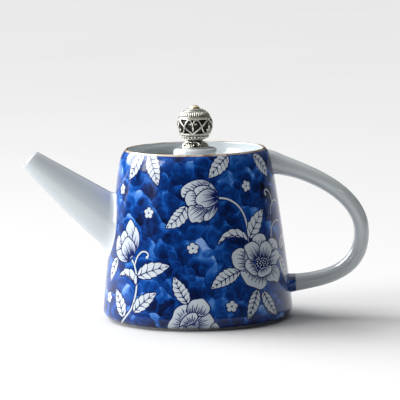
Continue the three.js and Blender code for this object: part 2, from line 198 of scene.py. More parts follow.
def table(radius=14, sides=96):
    """A wide round table top with its surface at the height of the foot ring."""
    mesh = bpy.data.meshes.new("table")
    mesh.from_pydata(circle(radius, 0.0, sides), [], [tuple(range(sides))])
    mesh.materials.append(table_material())
    return add_object("table", mesh)


table()


def aimed(name, light, place):
    """A light in the scene that faces the pot from a place."""
    away = Vector(place) - Vector((0, 0, 0.06))
    turn = away.to_track_quat("Z", "Y").to_matrix().to_4x4()
    add_object(name, light).matrix_world = Matrix.Translation(place) @ turn


def softbox(name, place, size, power):
    """A rectangular light."""
    light = bpy.data.lights.new(name, "AREA")
    light.shape = "RECTANGLE"
    light.size, light.size_y = size
    light.energy = power
    aimed(name, light, place)


daylight = bpy.data.lights.new("daylight", "SUN")
daylight.energy = 4.8
daylight.angle = radians(48)
aimed("daylight", daylight, (-1.5, 0.9, 1.15))
softbox("window_left", (-1.3, -0.40, 0.72), (0.8, 0.9), 20)
softbox("lamp_right", (0.75, -1.0, 0.62), (0.05, 0.10), 0.5)

world = bpy.data.worlds.new("room")
scene.world = world
world.use_nodes = True
world.node_tree.nodes.clear()
room = Bench(world.node_tree)
facing = room.split(room.node("ShaderNodeTexCoord")["Generated"])
overhead = facing["Z"].clamped() ** 2.0
far_left = (0.35 + facing["Y"] * 0.45 - facing["X"] * 0.4).clamped()
sky = room.node("ShaderNodeBackground", {}, {"Strength": 0.04 + overhead * far_left * 3.8})
room.node("ShaderNodeOutputWorld", {}, {"Surface": sky["Background"]})

# ---- Pot ---------------------------------------------------------------------------------------------------
# The pot's body is cast porcelain: a tapered wall rounded at the shoulder and the base, with a ledge for the
# lid inside the mouth. It is painted in cobalt under a clear glaze, white inside, and bare on its foot ring.

low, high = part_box("pot_body")
RIM_HEIGHT = high.z
BASE_RADIUS = high.x
RIM_RADIUS = 42.5 * MM
SHOULDER_RADIUS = 46 * MM
SHOULDER_HEIGHT = RIM_HEIGHT - 10 * MM
SHOULDER_EASE = 0.7 * MM  # how far the curve over the shoulder leans in at its start
SHOULDER_RISE = 5 * MM  # and how far it climbs before it turns
RIM_EASE = 0.9 * MM
RIM_ROUND = 1.6 * MM
BASE_CORNER = 6.2 * MM
BELLY = 0.45 * MM
WALL = 3.5 * MM
LIP = 2.2 * MM
FOOT_RADIUS = BASE_RADIUS - 5.4 * MM
FOOT_WIDTH = 4 * MM
FOOT_HEIGHT = 1.2 * MM
FOOT_RECESS = 2.4 * MM
FLOOR_HEIGHT = 6 * MM
LEDGE_HEIGHT = RIM_HEIGHT - 10 * MM
LEDGE_WIDTH = 4.8 * MM
LEDGE_THICKNESS = 3 * MM
mouth_radius = RIM_RADIUS - LIP
COLUMNS = 192  # round the pot


def bezier(start, first, second, end, pieces):
    """Points along a cubic curve, without the first, given by four (radius, height) points."""
    corners = [Vector((*p, 0)) for p in (start, first, second, end)]
    return [(p.x, p.y) for p in interpolate_bezier(*corners, pieces + 1)[1:]]


def wall_radius(height):
    """The tapered wall's radius, a little fuller than straight."""
    t = (height - BASE_CORNER) / (SHOULDER_HEIGHT - BASE_CORNER)
    return BASE_RADIUS + (SHOULDER_RADIUS - BASE_RADIUS) * t + BELLY * 4 * t * (1 - t)


def wall_profile():
    """The outside from the top of the foot ring to the lip, as (radius, height) points."""
    points = [(FOOT_RADIUS, FOOT_HEIGHT)]
    points += bezier(
        points[0],
        (FOOT_RADIUS + 3 * MM, FOOT_HEIGHT),
        (BASE_RADIUS, BASE_CORNER * 0.45),
        (BASE_RADIUS, BASE_CORNER),
        10,
    )
    for step in range(1, 33):
        height = BASE_CORNER + (SHOULDER_HEIGHT - BASE_CORNER) * step / 32
        points.append((wall_radius(height), height))
    points += bezier(
        points[-1],
        (SHOULDER_RADIUS - SHOULDER_EASE, SHOULDER_HEIGHT + SHOULDER_RISE),
        (RIM_RADIUS + RIM_EASE, RIM_HEIGHT - RIM_ROUND),
        (RIM_RADIUS - LIP * 0.45, RIM_HEIGHT),
        12,
    )
    return points


ROUND = 50.0  # radius of the circle that widths of the painting are measured round, in millimetres


class Developed:
    """A turned surface rolled out flat. Across is in millimetres round a 50 mm circle, with 0 at the front
    and the handle a quarter turn on. Up is in millimetres along the profile, from the base."""

    def __init__(self, profile, anchor_height):
        self.profile = profile
        self.lengths = [0.0]
        for (r0, z0), (r1, z1) in zip(profile, profile[1:]):
            self.lengths.append(self.lengths[-1] + hypot(r1 - r0, z1 - z0) / MM)
        pairs = zip(self.lengths, profile)
        anchor = next(length for length, (r, z) in pairs if z >= anchor_height - 1e-9)
        shift = anchor_height / MM - anchor
        self.lengths = [length + shift for length in self.lengths]

    def span(self, up):
        """Which stretch of the profile a height falls in, and how far along it."""
        last = len(self.lengths) - 2
        k = next((i for i in range(last) if up < self.lengths[i + 1]), last)
        share = (up - self.lengths[k]) / (self.lengths[k + 1] - self.lengths[k])
        return k, share

    def radius_height(self, up):
        k, share = self.span(up)
        (r0, z0), (r1, z1) = self.profile[k], self.profile[k + 1]
        return r0 + (r1 - r0) * share, z0 + (z1 - z0) * share

    def point(self, across, up):
        radius, height = self.radius_height(up)
        turn = across / ROUND
        return (radius * sin(turn), -radius * cos(turn), height)

    def normal(self, across, up):
        r0, z0 = self.radius_height(max(up - 0.6, self.lengths[0]))
        r1, z1 = self.radius_height(min(up + 0.6, self.lengths[-1]))
        size = hypot(r1 - r0, z1 - z0)
        outwards, upwards = (z1 - z0) / size, (r0 - r1) / size
        turn = across / ROUND
        return (outwards * sin(turn), -outwards * cos(turn), upwards)


outside = Developed(wall_profile(), BASE_CORNER)
LEFT_EDGE = -pi * ROUND - 78.0  # the sheet's joint runs down the wall beside the handle
columns = [LEFT_EDGE + tau * ROUND * i / COLUMNS for i in range(COLUMNS + 1)]

# The painting is built up in layers, each a closed outline on the developed wall filled with line or white.
LINE, WHITE, BROWN = 1, 2, 3
strokes = []  # (outline, ink, root, reach): root and reach shade a petal from its base outwards


def smooth(points, pieces=5, closed=True):
    """A flowing line through given points."""
    count = len(points)
    made = []
    for i in range(count if closed else count - 1):
        if closed:
            corners = [points[(i + k) % count] for k in (-1, 0, 1, 2)]
        else:
            corners = [points[min(max(i + k, 0), count - 1)] for k in (-1, 0, 1, 2)]
        for step in range(pieces):
            t = step / pieces
            weights = (
                -0.5 * t + t * t - 0.5 * t**3,
                1 - 2.5 * t * t + 1.5 * t**3,
                0.5 * t + 2 * t * t - 1.5 * t**3,
                -0.5 * t * t + 0.5 * t**3,
            )
            made.append(tuple(sum(w * p[k] for w, p in zip(weights, corners)) for k in (0, 1)))
    if not closed:
        made.append(points[-1])
    return made


def anticlockwise(outline):
    """The outline, turned round if it runs clockwise."""
    area = sum(a[0] * b[1] - b[0] * a[1] for a, b in zip(outline, outline[1:] + outline[:1]))
    return outline if area > 0 else outline[::-1]


def spread(outline, amount):
    """The same outline moved outwards everywhere by an amount."""
    outline = anticlockwise(outline)
    count = len(outline)
    made = []
    for i, (x, y) in enumerate(outline):
        before, after = outline[i - 1], outline[(i + 1) % count]
        dx, dy = after[0] - before[0], after[1] - before[1]
        size = hypot(dx, dy) or 1.0
        made.append((x + amount * dy / size, y - amount * dx / size))
    return made


def fill(outline, ink, root=None, reach=1.0):
    """Lays an outline on top of what is painted so far."""
    strokes.append((anticlockwise(outline), ink, root, reach))


def brush(points, widths, ink):
    """A brush stroke along points, as wide as widths say at each."""
    left, right = [], []
    for i, (x, y) in enumerate(points):
        before, after = points[max(i - 1, 0)], points[min(i + 1, len(points) - 1)]
        dx, dy = after[0] - before[0], after[1] - before[1]
        size = hypot(dx, dy) or 1.0
        half = widths[i] / 2
        left.append((x - half * dy / size, y + half * dx / size))
        right.append((x + half * dy / size, y - half * dx / size))
    fill(left + right[::-1], ink)


def vein(start, end, bend=0.0, width=0.5):
    """A short stroke that thins to a point."""
    dx, dy = end[0] - start[0], end[1] - start[1]
    points = []
    for t in (0.0, 0.35, 0.7, 1.0):
        bow = bend * 4 * t * (1 - t)
        points.append((start[0] + dx * t - dy * bow, start[1] + dy * t + dx * bow))
    brush(points, [width, width * 0.95, width * 0.7, 0.1], LINE)


def crossing(outline, start, towards):
    """How far a ray from start runs before it last leaves an outline, or 0 if it misses."""
    furthest = 0.0
    for a, b in zip(outline, outline[1:] + outline[:1]):
        ex, ey = b[0] - a[0], b[1] - a[1]
        cross = towards[0] * ey - towards[1] * ex
        if abs(cross) < 1e-9:
            continue
        ax, ay = a[0] - start[0], a[1] - start[1]
        along = (ax * ey - ay * ex) / cross
        share = (ax * towards[1] - ay * towards[0]) / cross
        if 0 <= share <= 1 and along > furthest:
            furthest = along
    return furthest


def inside(outline, place):
    """True if a place lies within an outline."""
    x, y = place
    odd = False
    for (x0, y0), (x1, y1) in zip(outline, outline[1:] + outline[:1]):
        if (y0 > y) != (y1 > y) and x < x0 + (y - y0) * (x1 - x0) / (y1 - y0):
            odd = not odd
    return odd


OUTLINE = 0.68  # width of the blue line round each petal and leaf


def petal(root, points, veins=6, inner=0.15, outer=0.62, sway=0.05):
    """A white petal: its outline, and fine strokes that fan out from the flower's root. inner and outer are
    where they start and end, as shares of the petal."""
    outline = anticlockwise(smooth(points))
    fill(spread(outline, OUTLINE), LINE)
    centre = [sum(p[k] for p in outline) / len(outline) for k in (0, 1)]
    lean = atan2(centre[1] - root[1], centre[0] - root[0])
    turns = [(atan2(y - root[1], x - root[0]) - lean + pi) % tau - pi for x, y in outline]
    furthest = max(hypot(x - root[0], y - root[1]) for x, y in outline)
    fill(outline, WHITE, root, furthest)
    low_turn, high_turn = min(turns), max(turns)
    if high_turn - low_turn > pi:
        low_turn, high_turn = -1.2, 1.2
    veins = round(veins * 1.5)
    for i in range(veins):
        share = (i + 1) / (veins + 1)
        turn = lean + low_turn + (high_turn - low_turn) * share
        towards = (cos(turn), sin(turn))
        far = crossing(outline, root, towards)
        near = far
        for back in range(1, 40):  # steps back along the ray to where it enters the petal
            near = far * (1 - back / 40)
            if not inside(outline, (root[0] + towards[0] * near, root[1] + towards[1] * near)):
                break
        length = far - near
        if length < 1.2:
            continue
        first = near + length * inner
        last = near + length * (outer + (0.12 if i % 2 else -0.1))
        start = (root[0] + towards[0] * first, root[1] + towards[1] * first)
        end = (root[0] + towards[0] * last, root[1] + towards[1] * last)
        vein(start, end, sway * (1 if share > 0.5 else -1), 0.65)


def leaf(base, tip, left, right, bend=0.0, veins=5):
    """A pointed, toothed leaf with a blue midrib and side veins. left and right are its greatest half widths,
    and bend bows its midrib as a share of its length."""
    dx, dy = tip[0] - base[0], tip[1] - base[1]
    length = hypot(dx, dy)
    ux, uy = dx / length, dy / length

    def rib(t):
        bow = bend * 4 * t * (1 - t)
        return base[0] + dx * t - dy * bow, base[1] + dy * t + dx * bow

    def edge(t, half):
        lobe = (veins * t) % 1.0
        wide = half * sin(pi * t**0.8) ** 0.8 * (0.86 + 0.24 * lobe**0.8)
        x, y = rib(t)
        slope = bend * 4 * (1 - 2 * t)
        nx, ny = -uy - slope * ux, ux - slope * uy
        size = hypot(nx, ny)
        return x + wide * nx / size, y + wide * ny / size

    steps = [0.03 + 0.95 * i / 30 for i in range(31)]
    outline = [rib(0.0)] + [edge(t, left) for t in steps]
    outline = anticlockwise(outline + [rib(1.0)] + [edge(t, -right) for t in reversed(steps)])
    fill(spread(outline, OUTLINE), LINE)
    fill(outline, WHITE)
    brush([rib(t) for t in (0.0, 0.3, 0.6, 0.95)], [0.75, 0.65, 0.5, 0.15], LINE)
    for i in range(1, veins + 1):
        t = (i - 0.55) / veins
        for half in (left, -right):
            start, end = rib(t), edge(min(t + 0.62 / veins, 0.97), half)
            vein(start, end, -0.10 if half > 0 else 0.10, 0.62)


def stem(points, width=1.0):
    """A white stalk edged in blue."""
    line = smooth(points, 6, closed=False)
    count = len(line)
    brush(line, [width + 2 * OUTLINE * 0.7] * count, LINE)
    brush(line, [width] * count, WHITE)


def dot(x, y, wide, tall, ink, sides):
    """A round or oval spot."""
    turns = [tau * i / sides for i in range(sides)]
    fill([(x + wide * cos(turn), y + tall * sin(turn)) for turn in turns], ink)


def tendril(points, width=0.85):
    """A stalk that ends in a curl with a round tip."""
    stem(points, width)
    dot(*points[-1], 0.85, 0.85, WHITE, 10)


def floret(x, y, turn, size=3.3):
    """A small five-petalled flower with a blue eye."""
    ring = []
    for i in range(40):
        angle = tau * i / 40
        radius = size * (0.60 + 0.40 * abs(cos(2.5 * angle)) ** 0.6)
        ring.append((x + radius * cos(angle + turn), y + radius * sin(angle + turn)))
    fill(spread(ring, OUTLINE * 0.9), LINE)
    fill(ring, WHITE)
    dot(x, y, 0.6, 0.6, LINE, 8)


def stamens(x, y, wide, tall):
    """The blue heart of an open flower, dotted with white."""
    dot(x, y, wide, tall, LINE, 24)
    for ring, count in ((0.0, 1), (0.4, 7), (0.78, 13)):
        for i in range(count):
            turn = tau * (i + 0.5) / count
            dot(x + wide * ring * cos(turn), y + tall * ring * sin(turn), 0.5, 0.42, WHITE, 7)


def bud_spray():
    """The half-open bud beside the spout, on a long stalk with leaves."""
    stem([(-40.3, 40.5), (-37.8, 37.2), (-36, 31.6), (-35.5, 25.5), (-36, 19.9), (-37.8, 13.2),
          (-40.3, 9.1), (-44.4, 4.5), (-48, 1.5)])
    tendril([(-37.7, 38), (-36.4, 42.2), (-33.7, 45.4), (-31, 46.1), (-28.9, 45), (-28.7, 43.4),
             (-29.4, 42.9)])
    leaf((-35.2, 31.3), (-15.6, 38.4), 4.6, 4.0, 0.03, 5)
    leaf((-36.2, 26), (-50.2, 29.8), 0.6, 4.2, -0.22, 4)
    leaf((-53.6, 39.9), (-60.8, 25.4), 3.2, 3.6, -0.06, 4)
    leaf((-44.0, 6.3), (-52.6, 21.6), 3.6, 4.2, -0.02, 5)
    leaf((-36.5, 10.2), (-22.8, 22.4), 4.0, 3.6, 0.03, 5)
    root = (-39.8, 40.8)
    petal(root, [(-43.8, 63.8), (-46.6, 61), (-47.6, 57.6), (-46.2, 53), (-43, 49), (-39.6, 50), (-38.8, 56),
                 (-40.2, 60.2)], 3)
    petal(root, [(-39.3, 60), (-36.7, 57), (-35.7, 53), (-36.2, 48.9), (-38, 46), (-40, 45), (-41, 52),
                 (-40, 57)], 4)
    petal(root, [(-49.2, 56.8), (-52, 54.2), (-53.2, 50), (-51, 46), (-47, 46), (-45, 51), (-46.2, 54.8)], 4)
    petal(root, [(-54.8, 53.4), (-57, 50.8), (-57.4, 47), (-56.2, 43.6), (-53.4, 41), (-49, 41.5),
                 (-48.6, 46), (-51, 48), (-52.4, 51)], 5)
    petal(root, [(-56, 43.5), (-53.4, 40.6), (-50.5, 39.2), (-46.4, 38.6), (-42.3, 39.6), (-41, 41.5),
                 (-46, 44), (-51, 45.5)], 5)
    petal(root, [(-45.4, 53.4), (-48.2, 51.2), (-50.2, 47.6), (-49.8, 44.6), (-46.6, 42), (-43, 40.6),
                 (-39.6, 42.4), (-38.2, 46.4), (-39.4, 49.8), (-42, 51.8)], 9, 0.1, 0.7)


def nodding_peony():
    """The peony that faces the spout, below the rim, on a stalk that bows over."""
    stem([(13.5, 77.7), (18.4, 77), (22.4, 75.2), (25.4, 73), (27.9, 70), (29.9, 66), (31, 61), (31.1, 56),
          (30.7, 51)])
    leaf((-6.2, 73.4), (-18, 60.8), 4.4, 3.8, 0.08, 6)
    root = (13.4, 78.4)
    petal(root, [(5, 88.3), (8.4, 87), (11.4, 83.8), (13.2, 80), (10.7, 79.5), (6.6, 82), (2, 85)], 4)
    petal(root, [(-8.9, 79.6), (-8.9, 83.2), (-6.3, 85.8), (-2.6, 87.6), (1.4, 88.5), (5.4, 88.2),
                 (8.4, 86.4), (5.6, 84.4), (1, 83.6), (-3, 81.8), (-6, 79.6), (-7.4, 78.4)], 7, 0.3, 0.75)
    petal(root, [(-1.2, 82.6), (1, 84.4), (5.1, 85), (8.4, 83.8), (9, 81.6), (4, 79.6), (0.6, 79.6)], 5)
    petal(root, [(-5, 81.4), (-2.4, 82), (-0.6, 80), (0.4, 76), (0.2, 73.4), (-2.2, 72.8), (-4.8, 73.6),
                 (-6.3, 76), (-6.5, 78.6)], 4, 0.1, 0.5)
    petal(root, [(3.6, 65.4), (6.6, 65), (9.7, 67.2), (12, 70.4), (13.2, 74.6), (10, 74.6), (5, 71),
                 (3, 68)], 5, 0.1, 0.8)
    petal(root, [(-4, 73), (-4.8, 69.3), (-4.2, 66.2), (-2.6, 64), (0, 64.4), (2, 63.9), (3.9, 65.6),
                 (4, 68), (7, 70.6), (9.6, 73.4), (4, 74), (0, 73.6)], 6, 0.25, 0.8)
    petal(root, [(1.6, 80), (4.4, 82.2), (7.8, 82.9), (11, 81.6), (13.2, 79), (13, 76), (10.6, 74),
                 (7.4, 72.8), (4.8, 72.6), (3.2, 74), (0.8, 74.6), (-0.3, 76.6), (0.3, 78.6)], 9, 0.05, 0.72)


def open_peony():
    """The large open peony near the handle, with a dotted heart."""
    leaf((24, 34.4), (7.4, 25.2), 3.6, 4.6, -0.04, 7)
    leaf((30.4, 51.4), (12.2, 50.8), 0.8, 3.6, -0.24, 5)
    leaf((31.9, 53), (45.2, 68.3), 4.6, 4.4, 0.04, 5)
    leaf((34.4, 22.4), (26.8, 6.2), 3.2, 3.4, 0.03, 6)
    leaf((38.2, 20.8), (47.4, 5.8), 3.2, 3.4, -0.03, 6)
    root = (39.6, 37)
    petal(root, [(34.2, 51.6), (36.2, 54), (40.3, 54.7), (43.6, 53.5), (44.8, 50.6), (41.8, 48), (37, 48)], 3)
    petal(root, [(47.6, 49.6), (51, 50.8), (55.1, 49), (57, 46.2), (55.8, 43.4), (52, 42), (48, 43)], 4)
    petal(root, [(46, 42), (50, 42.2), (54, 43.6), (57.4, 41.6), (57.6, 39), (54.4, 37.4), (51.5, 34.8),
                 (46, 34.6), (44, 37.4)], 6, 0.15, 0.6)
    petal(root, [(46, 34.4), (51.5, 34.4), (54.8, 32.2), (55.6, 29), (53.2, 25.4), (50.8, 24.8), (48, 26),
                 (44, 26.2), (40.6, 28.4), (41.6, 32)], 7, 0.2, 0.65)
    petal(root, [(24.4, 34), (25.8, 29.6), (28.1, 26), (32.7, 24), (36.7, 22.3), (40.8, 24.2), (41.6, 27),
                 (39.6, 30.6), (34, 32.4), (29.6, 35.6)], 9, 0.25, 0.6)
    petal(root, [(19.6, 43), (20.7, 45.6), (24.5, 47.6), (27.8, 46.6), (30.4, 43), (31, 38), (28, 34.6),
                 (25, 34.8), (21.9, 36.2), (20.2, 38.7), (19.9, 41)], 8, 0.3, 0.65)
    petal(root, [(28, 48), (30.1, 49.6), (33.7, 50.6), (36.9, 49), (38.9, 46), (38.4, 41), (34.7, 39.4),
                 (31, 40.4), (29.4, 44)], 7, 0.1, 0.6)
    petal(root, [(39.2, 46.4), (41.6, 49), (45.4, 49.6), (48.2, 47.6), (49.7, 44.8), (47.6, 41.4),
                 (43.4, 39.4), (38.8, 40.4)], 6, 0.1, 0.6)
    stamens(40.2, 37.4, 5.6, 3.6)
    petal(root, [(27.9, 38.6), (29.6, 40.6), (31.4, 39.4), (33.9, 37.4), (35.6, 34), (36, 31.2), (32.6, 31.2),
                 (29.4, 33.8), (27.7, 36.2)], 7, 0.1, 0.6)
    petal(root, [(35.8, 30.6), (36.6, 33.2), (40.3, 34.9), (43.4, 34.5), (46.4, 34.9), (47, 33), (45.4, 30.9),
                 (41.3, 29.9), (38.2, 29.4)], 5, 0.15, 0.55)


def low_peony():
    """The peony cut off by the foot."""
    leaf((-5.2, 16.6), (-12.7, 32), 3.4, 3.8, 0.03, 6)
    root = (-3.6, 3.4)
    petal(root, [(-5.4, 16), (-9.2, 15.4), (-12, 12.9), (-13.3, 8.6), (-15.3, 5.1), (-16.4, 1), (-14, -2),
                 (-10, -1), (-8.4, 5), (-7, 9.1), (-5, 11.7)], 8, 0.25, 0.65)
    petal(root, [(5.4, 11), (7, 9), (8, 6.4), (7, 2.6), (5.6, -1), (0, -1.5), (-1.6, 4), (0.3, 8.6),
                 (3, 10.6)], 7, 0.2, 0.65)
    petal(root, [(-5, 11.4), (-5.2, 15.2), (-3.2, 18.4), (-0.5, 19.2), (2.6, 19.4), (4.5, 17.3), (6.1, 14.2),
                 (5.2, 11.4), (2.4, 9.6), (-0.2, 10), (-2.8, 11)], 7, 0.12, 0.6)
    petal(root, [(-9.4, 3.2), (-8.6, 6.4), (-6.8, 9), (-4.2, 11), (-1.4, 11.3), (-0.4, 9.1), (-1.8, 6.4),
                 (-4.4, 4.6), (-7, 3.6)], 5, 0.2, 0.8)
    stamens(-3.2, 1.6, 3.2, 2.6)
    petal(root, [(-10.2, 1.4), (-8.4, 3.2), (-6.6, 2), (-6.6, -1), (-9.6, -2)], 2)
    petal((7, -2), [(6.8, 0), (7, 3.4), (8.8, 5.2), (10.6, 3), (11.4, 0), (9, -2)], 3)


def rim_leaves():
    """Leaves that hang down from the rim."""
    leaf((-40.6, 104), (-49.4, 87.4), 4.2, 4.8, 0.04, 6)
    leaf((-34.6, 104), (-24.6, 85.2), 4.6, 4.8, 0.05, 7)
    leaf((22.6, 102.4), (8.3, 89.6), 4.6, 4.2, -0.03, 6)
    leaf((44.4, 100.8), (56.1, 87.4), 4.4, 4.6, 0.05, 6)


def side_sprays():
    """Tendrils and a leaf that lead round to the handle's side."""
    tendril([(58, 70), (57, 73.8), (55.8, 77), (53.4, 79.2), (50.8, 79.6), (49.4, 78.2), (50.4, 77)], 0.7)
    stem([(53.4, 64.6), (54.8, 68.6), (57.6, 71.4), (61.7, 72.4), (66, 71)], 0.7)
    stem([(50.4, 51.6), (52.6, 57), (56, 59.4), (60.7, 60.4), (66, 59)], 0.7)
    leaf((57, 40), (65, 21), 3.2, 3.6, 0.06, 6)
    leaf((60, 44), (72, 51), 3.0, 3.2, 0.05, 5)


def scattered_florets():
    """Six florets in the gaps."""
    floret(-56.6, 80.8, 0.5)
    floret(-29.9, 68.8, 0.3)
    floret(-60.7, 15.8, 0.1)
    floret(-2.3, 48.8, 0.4)
    floret(18, 14.2, 0.2)
    floret(33.4, 83.4, 0.6)


for painted in (rim_leaves, bud_spray, low_peony, nodding_peony, side_sprays, open_peony, scattered_florets):
    painted()

for outline, ink, root, reach in list(strokes):  # the back is painted like the front
    moved = [(x - pi * ROUND, y) for x, y in outline]
    strokes.append((moved, ink, root and (root[0] - pi * ROUND, root[1]), reach))

BROWN_LINE = 1.3  # how far down from the lip the brown line reaches, in millimetres
crest = outside.lengths[-1]
fill([(x, crest - BROWN_LINE) for x in columns] + [(x, crest) for x in reversed(columns)], BROWN)


def rolled_sheet(surface, bands, hole, painting=()):
    """A developed sheet cut into triangles along every painted edge, with a hole cut out of it.
    Returns its flat points, triangles, and the painting on each triangle."""
    bottom, top = surface.lengths[0], surface.lengths[-1]
    rows = [bottom + (top - bottom) * i / bands for i in range(1, bands)]
    edge = [(x, bottom) for x in columns]
    edge += [(columns[-1], y) for y in rows]
    edge += [(x, top) for x in reversed(columns)]
    edge += [(columns[0], y) for y in reversed(rows)]
    flat, faces = [], []
    for outline in (edge, hole, *(stroke[0] for stroke in painting)):
        faces.append(list(range(len(flat), len(flat) + len(outline))))
        flat += outline
    for y in rows:
        flat += [(x, y) for x in columns[1:-1]]
    points, _, triangles, _, _, sources = delaunay_2d_cdt(
        [Vector(p) for p in flat], [], faces, 0, 1e-5, True
    )
    kept, paint = [], []
    for triangle, source in zip(triangles, sources):
        if 0 not in source or 1 in source:
            continue
        kept.append(tuple(triangle))
        topmost = max(source)  # faces 0 and 1 are the sheet and the hole
        paint.append(painting[topmost - 2] if topmost > 1 else None)
    return [(p.x, p.y) for p in points], kept, paint


HOLE_ACROSS = -pi * ROUND / 2  # the strainer's hole faces the spout
HOLE_RADIUS = 11.9 * MM
strainer_low, strainer_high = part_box("strainer")
hole_height = (strainer_low.z + strainer_high.z) / 2


def hole_outline(surface, height, sides=48):
    """The round hole for the strainer on a developed sheet."""
    ups = surface.lengths
    up = min(range(int(ups[0]), int(ups[-1])), key=lambda u: abs(surface.radius_height(u)[1] - height))
    up += (height - surface.radius_height(up)[1]) / MM
    made = []
    for i in range(sides):
        turn = -tau * i / sides  # anticlockwise on the sheet
        level = up + HOLE_RADIUS / MM * cos(turn)
        radius, _ = surface.radius_height(level)
        made.append((HOLE_ACROSS + asin(HOLE_RADIUS * sin(turn) / radius) * ROUND, level))
    return made


def ledge_profile():
    """From the lip down the mouth and under the ledge, to where the inner wall begins."""
    ledge_radius = mouth_radius - LEDGE_WIDTH
    edge = 0.5 * MM
    points = bezier(
        outside.profile[-1],
        (mouth_radius + 0.2 * MM, RIM_HEIGHT),
        (mouth_radius, RIM_HEIGHT - 0.3 * MM),
        (mouth_radius, RIM_HEIGHT - LIP * 0.6),
        6,
    )
    points += [
        (mouth_radius, LEDGE_HEIGHT + edge),
        (mouth_radius - edge, LEDGE_HEIGHT),
        (ledge_radius + edge, LEDGE_HEIGHT),
        (ledge_radius, LEDGE_HEIGHT - edge),
        (ledge_radius, LEDGE_HEIGHT - LEDGE_THICKNESS + edge),
        (ledge_radius + edge, LEDGE_HEIGHT - LEDGE_THICKNESS),
    ]
    return points


INNER_TOP = LEDGE_HEIGHT - 8 * MM
INNER_FOOT = FLOOR_HEIGHT + BASE_CORNER
inner_heights = [INNER_FOOT + (INNER_TOP - INNER_FOOT) * step / 24 for step in range(25)]
inner_side = Developed([(wall_radius(height) - WALL, height) for height in inner_heights], INNER_FOOT)


def floor_profile():
    """From the foot of the inner wall across the floor."""
    radius = inner_side.profile[0][0]
    points = bezier(
        inner_side.profile[0],
        (radius, FLOOR_HEIGHT + 2 * MM),
        (radius - 2 * MM, FLOOR_HEIGHT),
        (radius - BASE_CORNER, FLOOR_HEIGHT),
        8,
    )
    return points + [(radius * 0.6, FLOOR_HEIGHT), (radius * 0.25, FLOOR_HEIGHT)]


def foot_profile():
    """From the middle of the underside outwards and round the foot ring."""
    ring_inner = FOOT_RADIUS - FOOT_WIDTH
    edge = 0.4 * MM
    return [
        (ring_inner * 0.4, FOOT_RECESS),
        (ring_inner - 2 * MM, FOOT_RECESS),
        (ring_inner - 0.6 * MM, FOOT_RECESS - 0.7 * MM),
        (ring_inner, edge),
        (ring_inner + edge, 0),
        (FOOT_RADIUS - edge, 0),
        (FOOT_RADIUS, edge),
    ]


def brushed_cobalt(bench, place):
    """Cobalt laid on in overlapping dabs of the brush: each has a round front edge where the colour thins,
    and fades back into the dabs before it."""

    def vector(operation, first, second, socket=1):
        sockets = {0: first, socket: second}
        return bench.node("ShaderNodeVectorMath", {"operation": operation}, sockets)

    wobble = bench.node("ShaderNodeTexNoise", {}, {"Vector": place, "Scale": 130.0, "Detail": 2.0})["Color"]
    wobble = vector("SUBTRACT", wobble, (0.5, 0.5, 0.5))["Vector"]
    wobble = vector("SCALE", wobble, 5 * MM, "Scale")["Vector"]
    bent = vector("ADD", place, wobble)["Vector"]
    depth = None
    for size, offset, lean in (
        (10.2 * MM, (0.0, 0.0, 0.0), (0.5, 0.3, 0.8)),
        (8.1 * MM, (0.013, 0.021, 0.008), (-0.7, 0.4, 0.6)),
        (6.8 * MM, (0.031, 0.007, 0.017), (0.3, -0.5, 0.8)),
    ):
        moved = vector("ADD", bent, offset)["Vector"]
        sockets = {"Vector": moved, "Scale": 1 / size, "Randomness": 1.0}
        cell = bench.node("ShaderNodeTexVoronoi", {"feature": "F1"}, sockets)
        away = vector("SUBTRACT", moved, cell["Position"])["Vector"]
        front = vector("DOT_PRODUCT", away, lean)["Value"]
        tint = bench.node("ShaderNodeSeparateColor", {}, {"Color": cell["Color"]})
        to_edge = 0.56 - cell["Distance"]
        within = (to_edge * 9).clamped()
        rim = 1 - (to_edge * 4.5).clamped()
        body = (front * (0.5 / size) + 0.5).clamped()
        tone = 0.18 + body * body * 0.45 + rim * body * 0.50 + (tint["Red"] - 0.5) * 0.32
        strength = within * (0.35 + body * 0.65) * (0.6 + tint["Green"] * 0.4)
        depth = tone if depth is None else depth + (tone - depth) * strength
    depth = depth + (bench.cloud(place, 34, 3) - 0.5) * 0.9 + (bench.cloud(bent, 260, 4) - 0.5) * 0.3
    stops = [
        (0.0, (0.001, 0.003, 0.014)),
        (0.20, (0.0015, 0.009, 0.055)),
        (0.38, (0.002, 0.027, 0.16)),
        (0.55, (0.005, 0.064, 0.31)),
        (0.72, (0.030, 0.14, 0.47)),
        (0.88, (0.09, 0.23, 0.58)),
        (1.0, (0.22, 0.37, 0.70)),
    ]
    return bench.node("ShaderNodeValToRGB", {"stops": stops}, {"Fac": depth})["Color"]


def uneven(bench, height, strength, distance):
    """The normal of a surface that a pattern raises a little."""
    sockets = {"Strength": strength, "Distance": distance, "Height": height}
    return bench.node("ShaderNodeBump", {}, sockets)["Normal"]


def glaze_bump(bench, place):
    """The faint unevenness of a thick glaze."""
    return uneven(bench, bench.cloud(place, 55, 1), 0.06, 1 * MM)


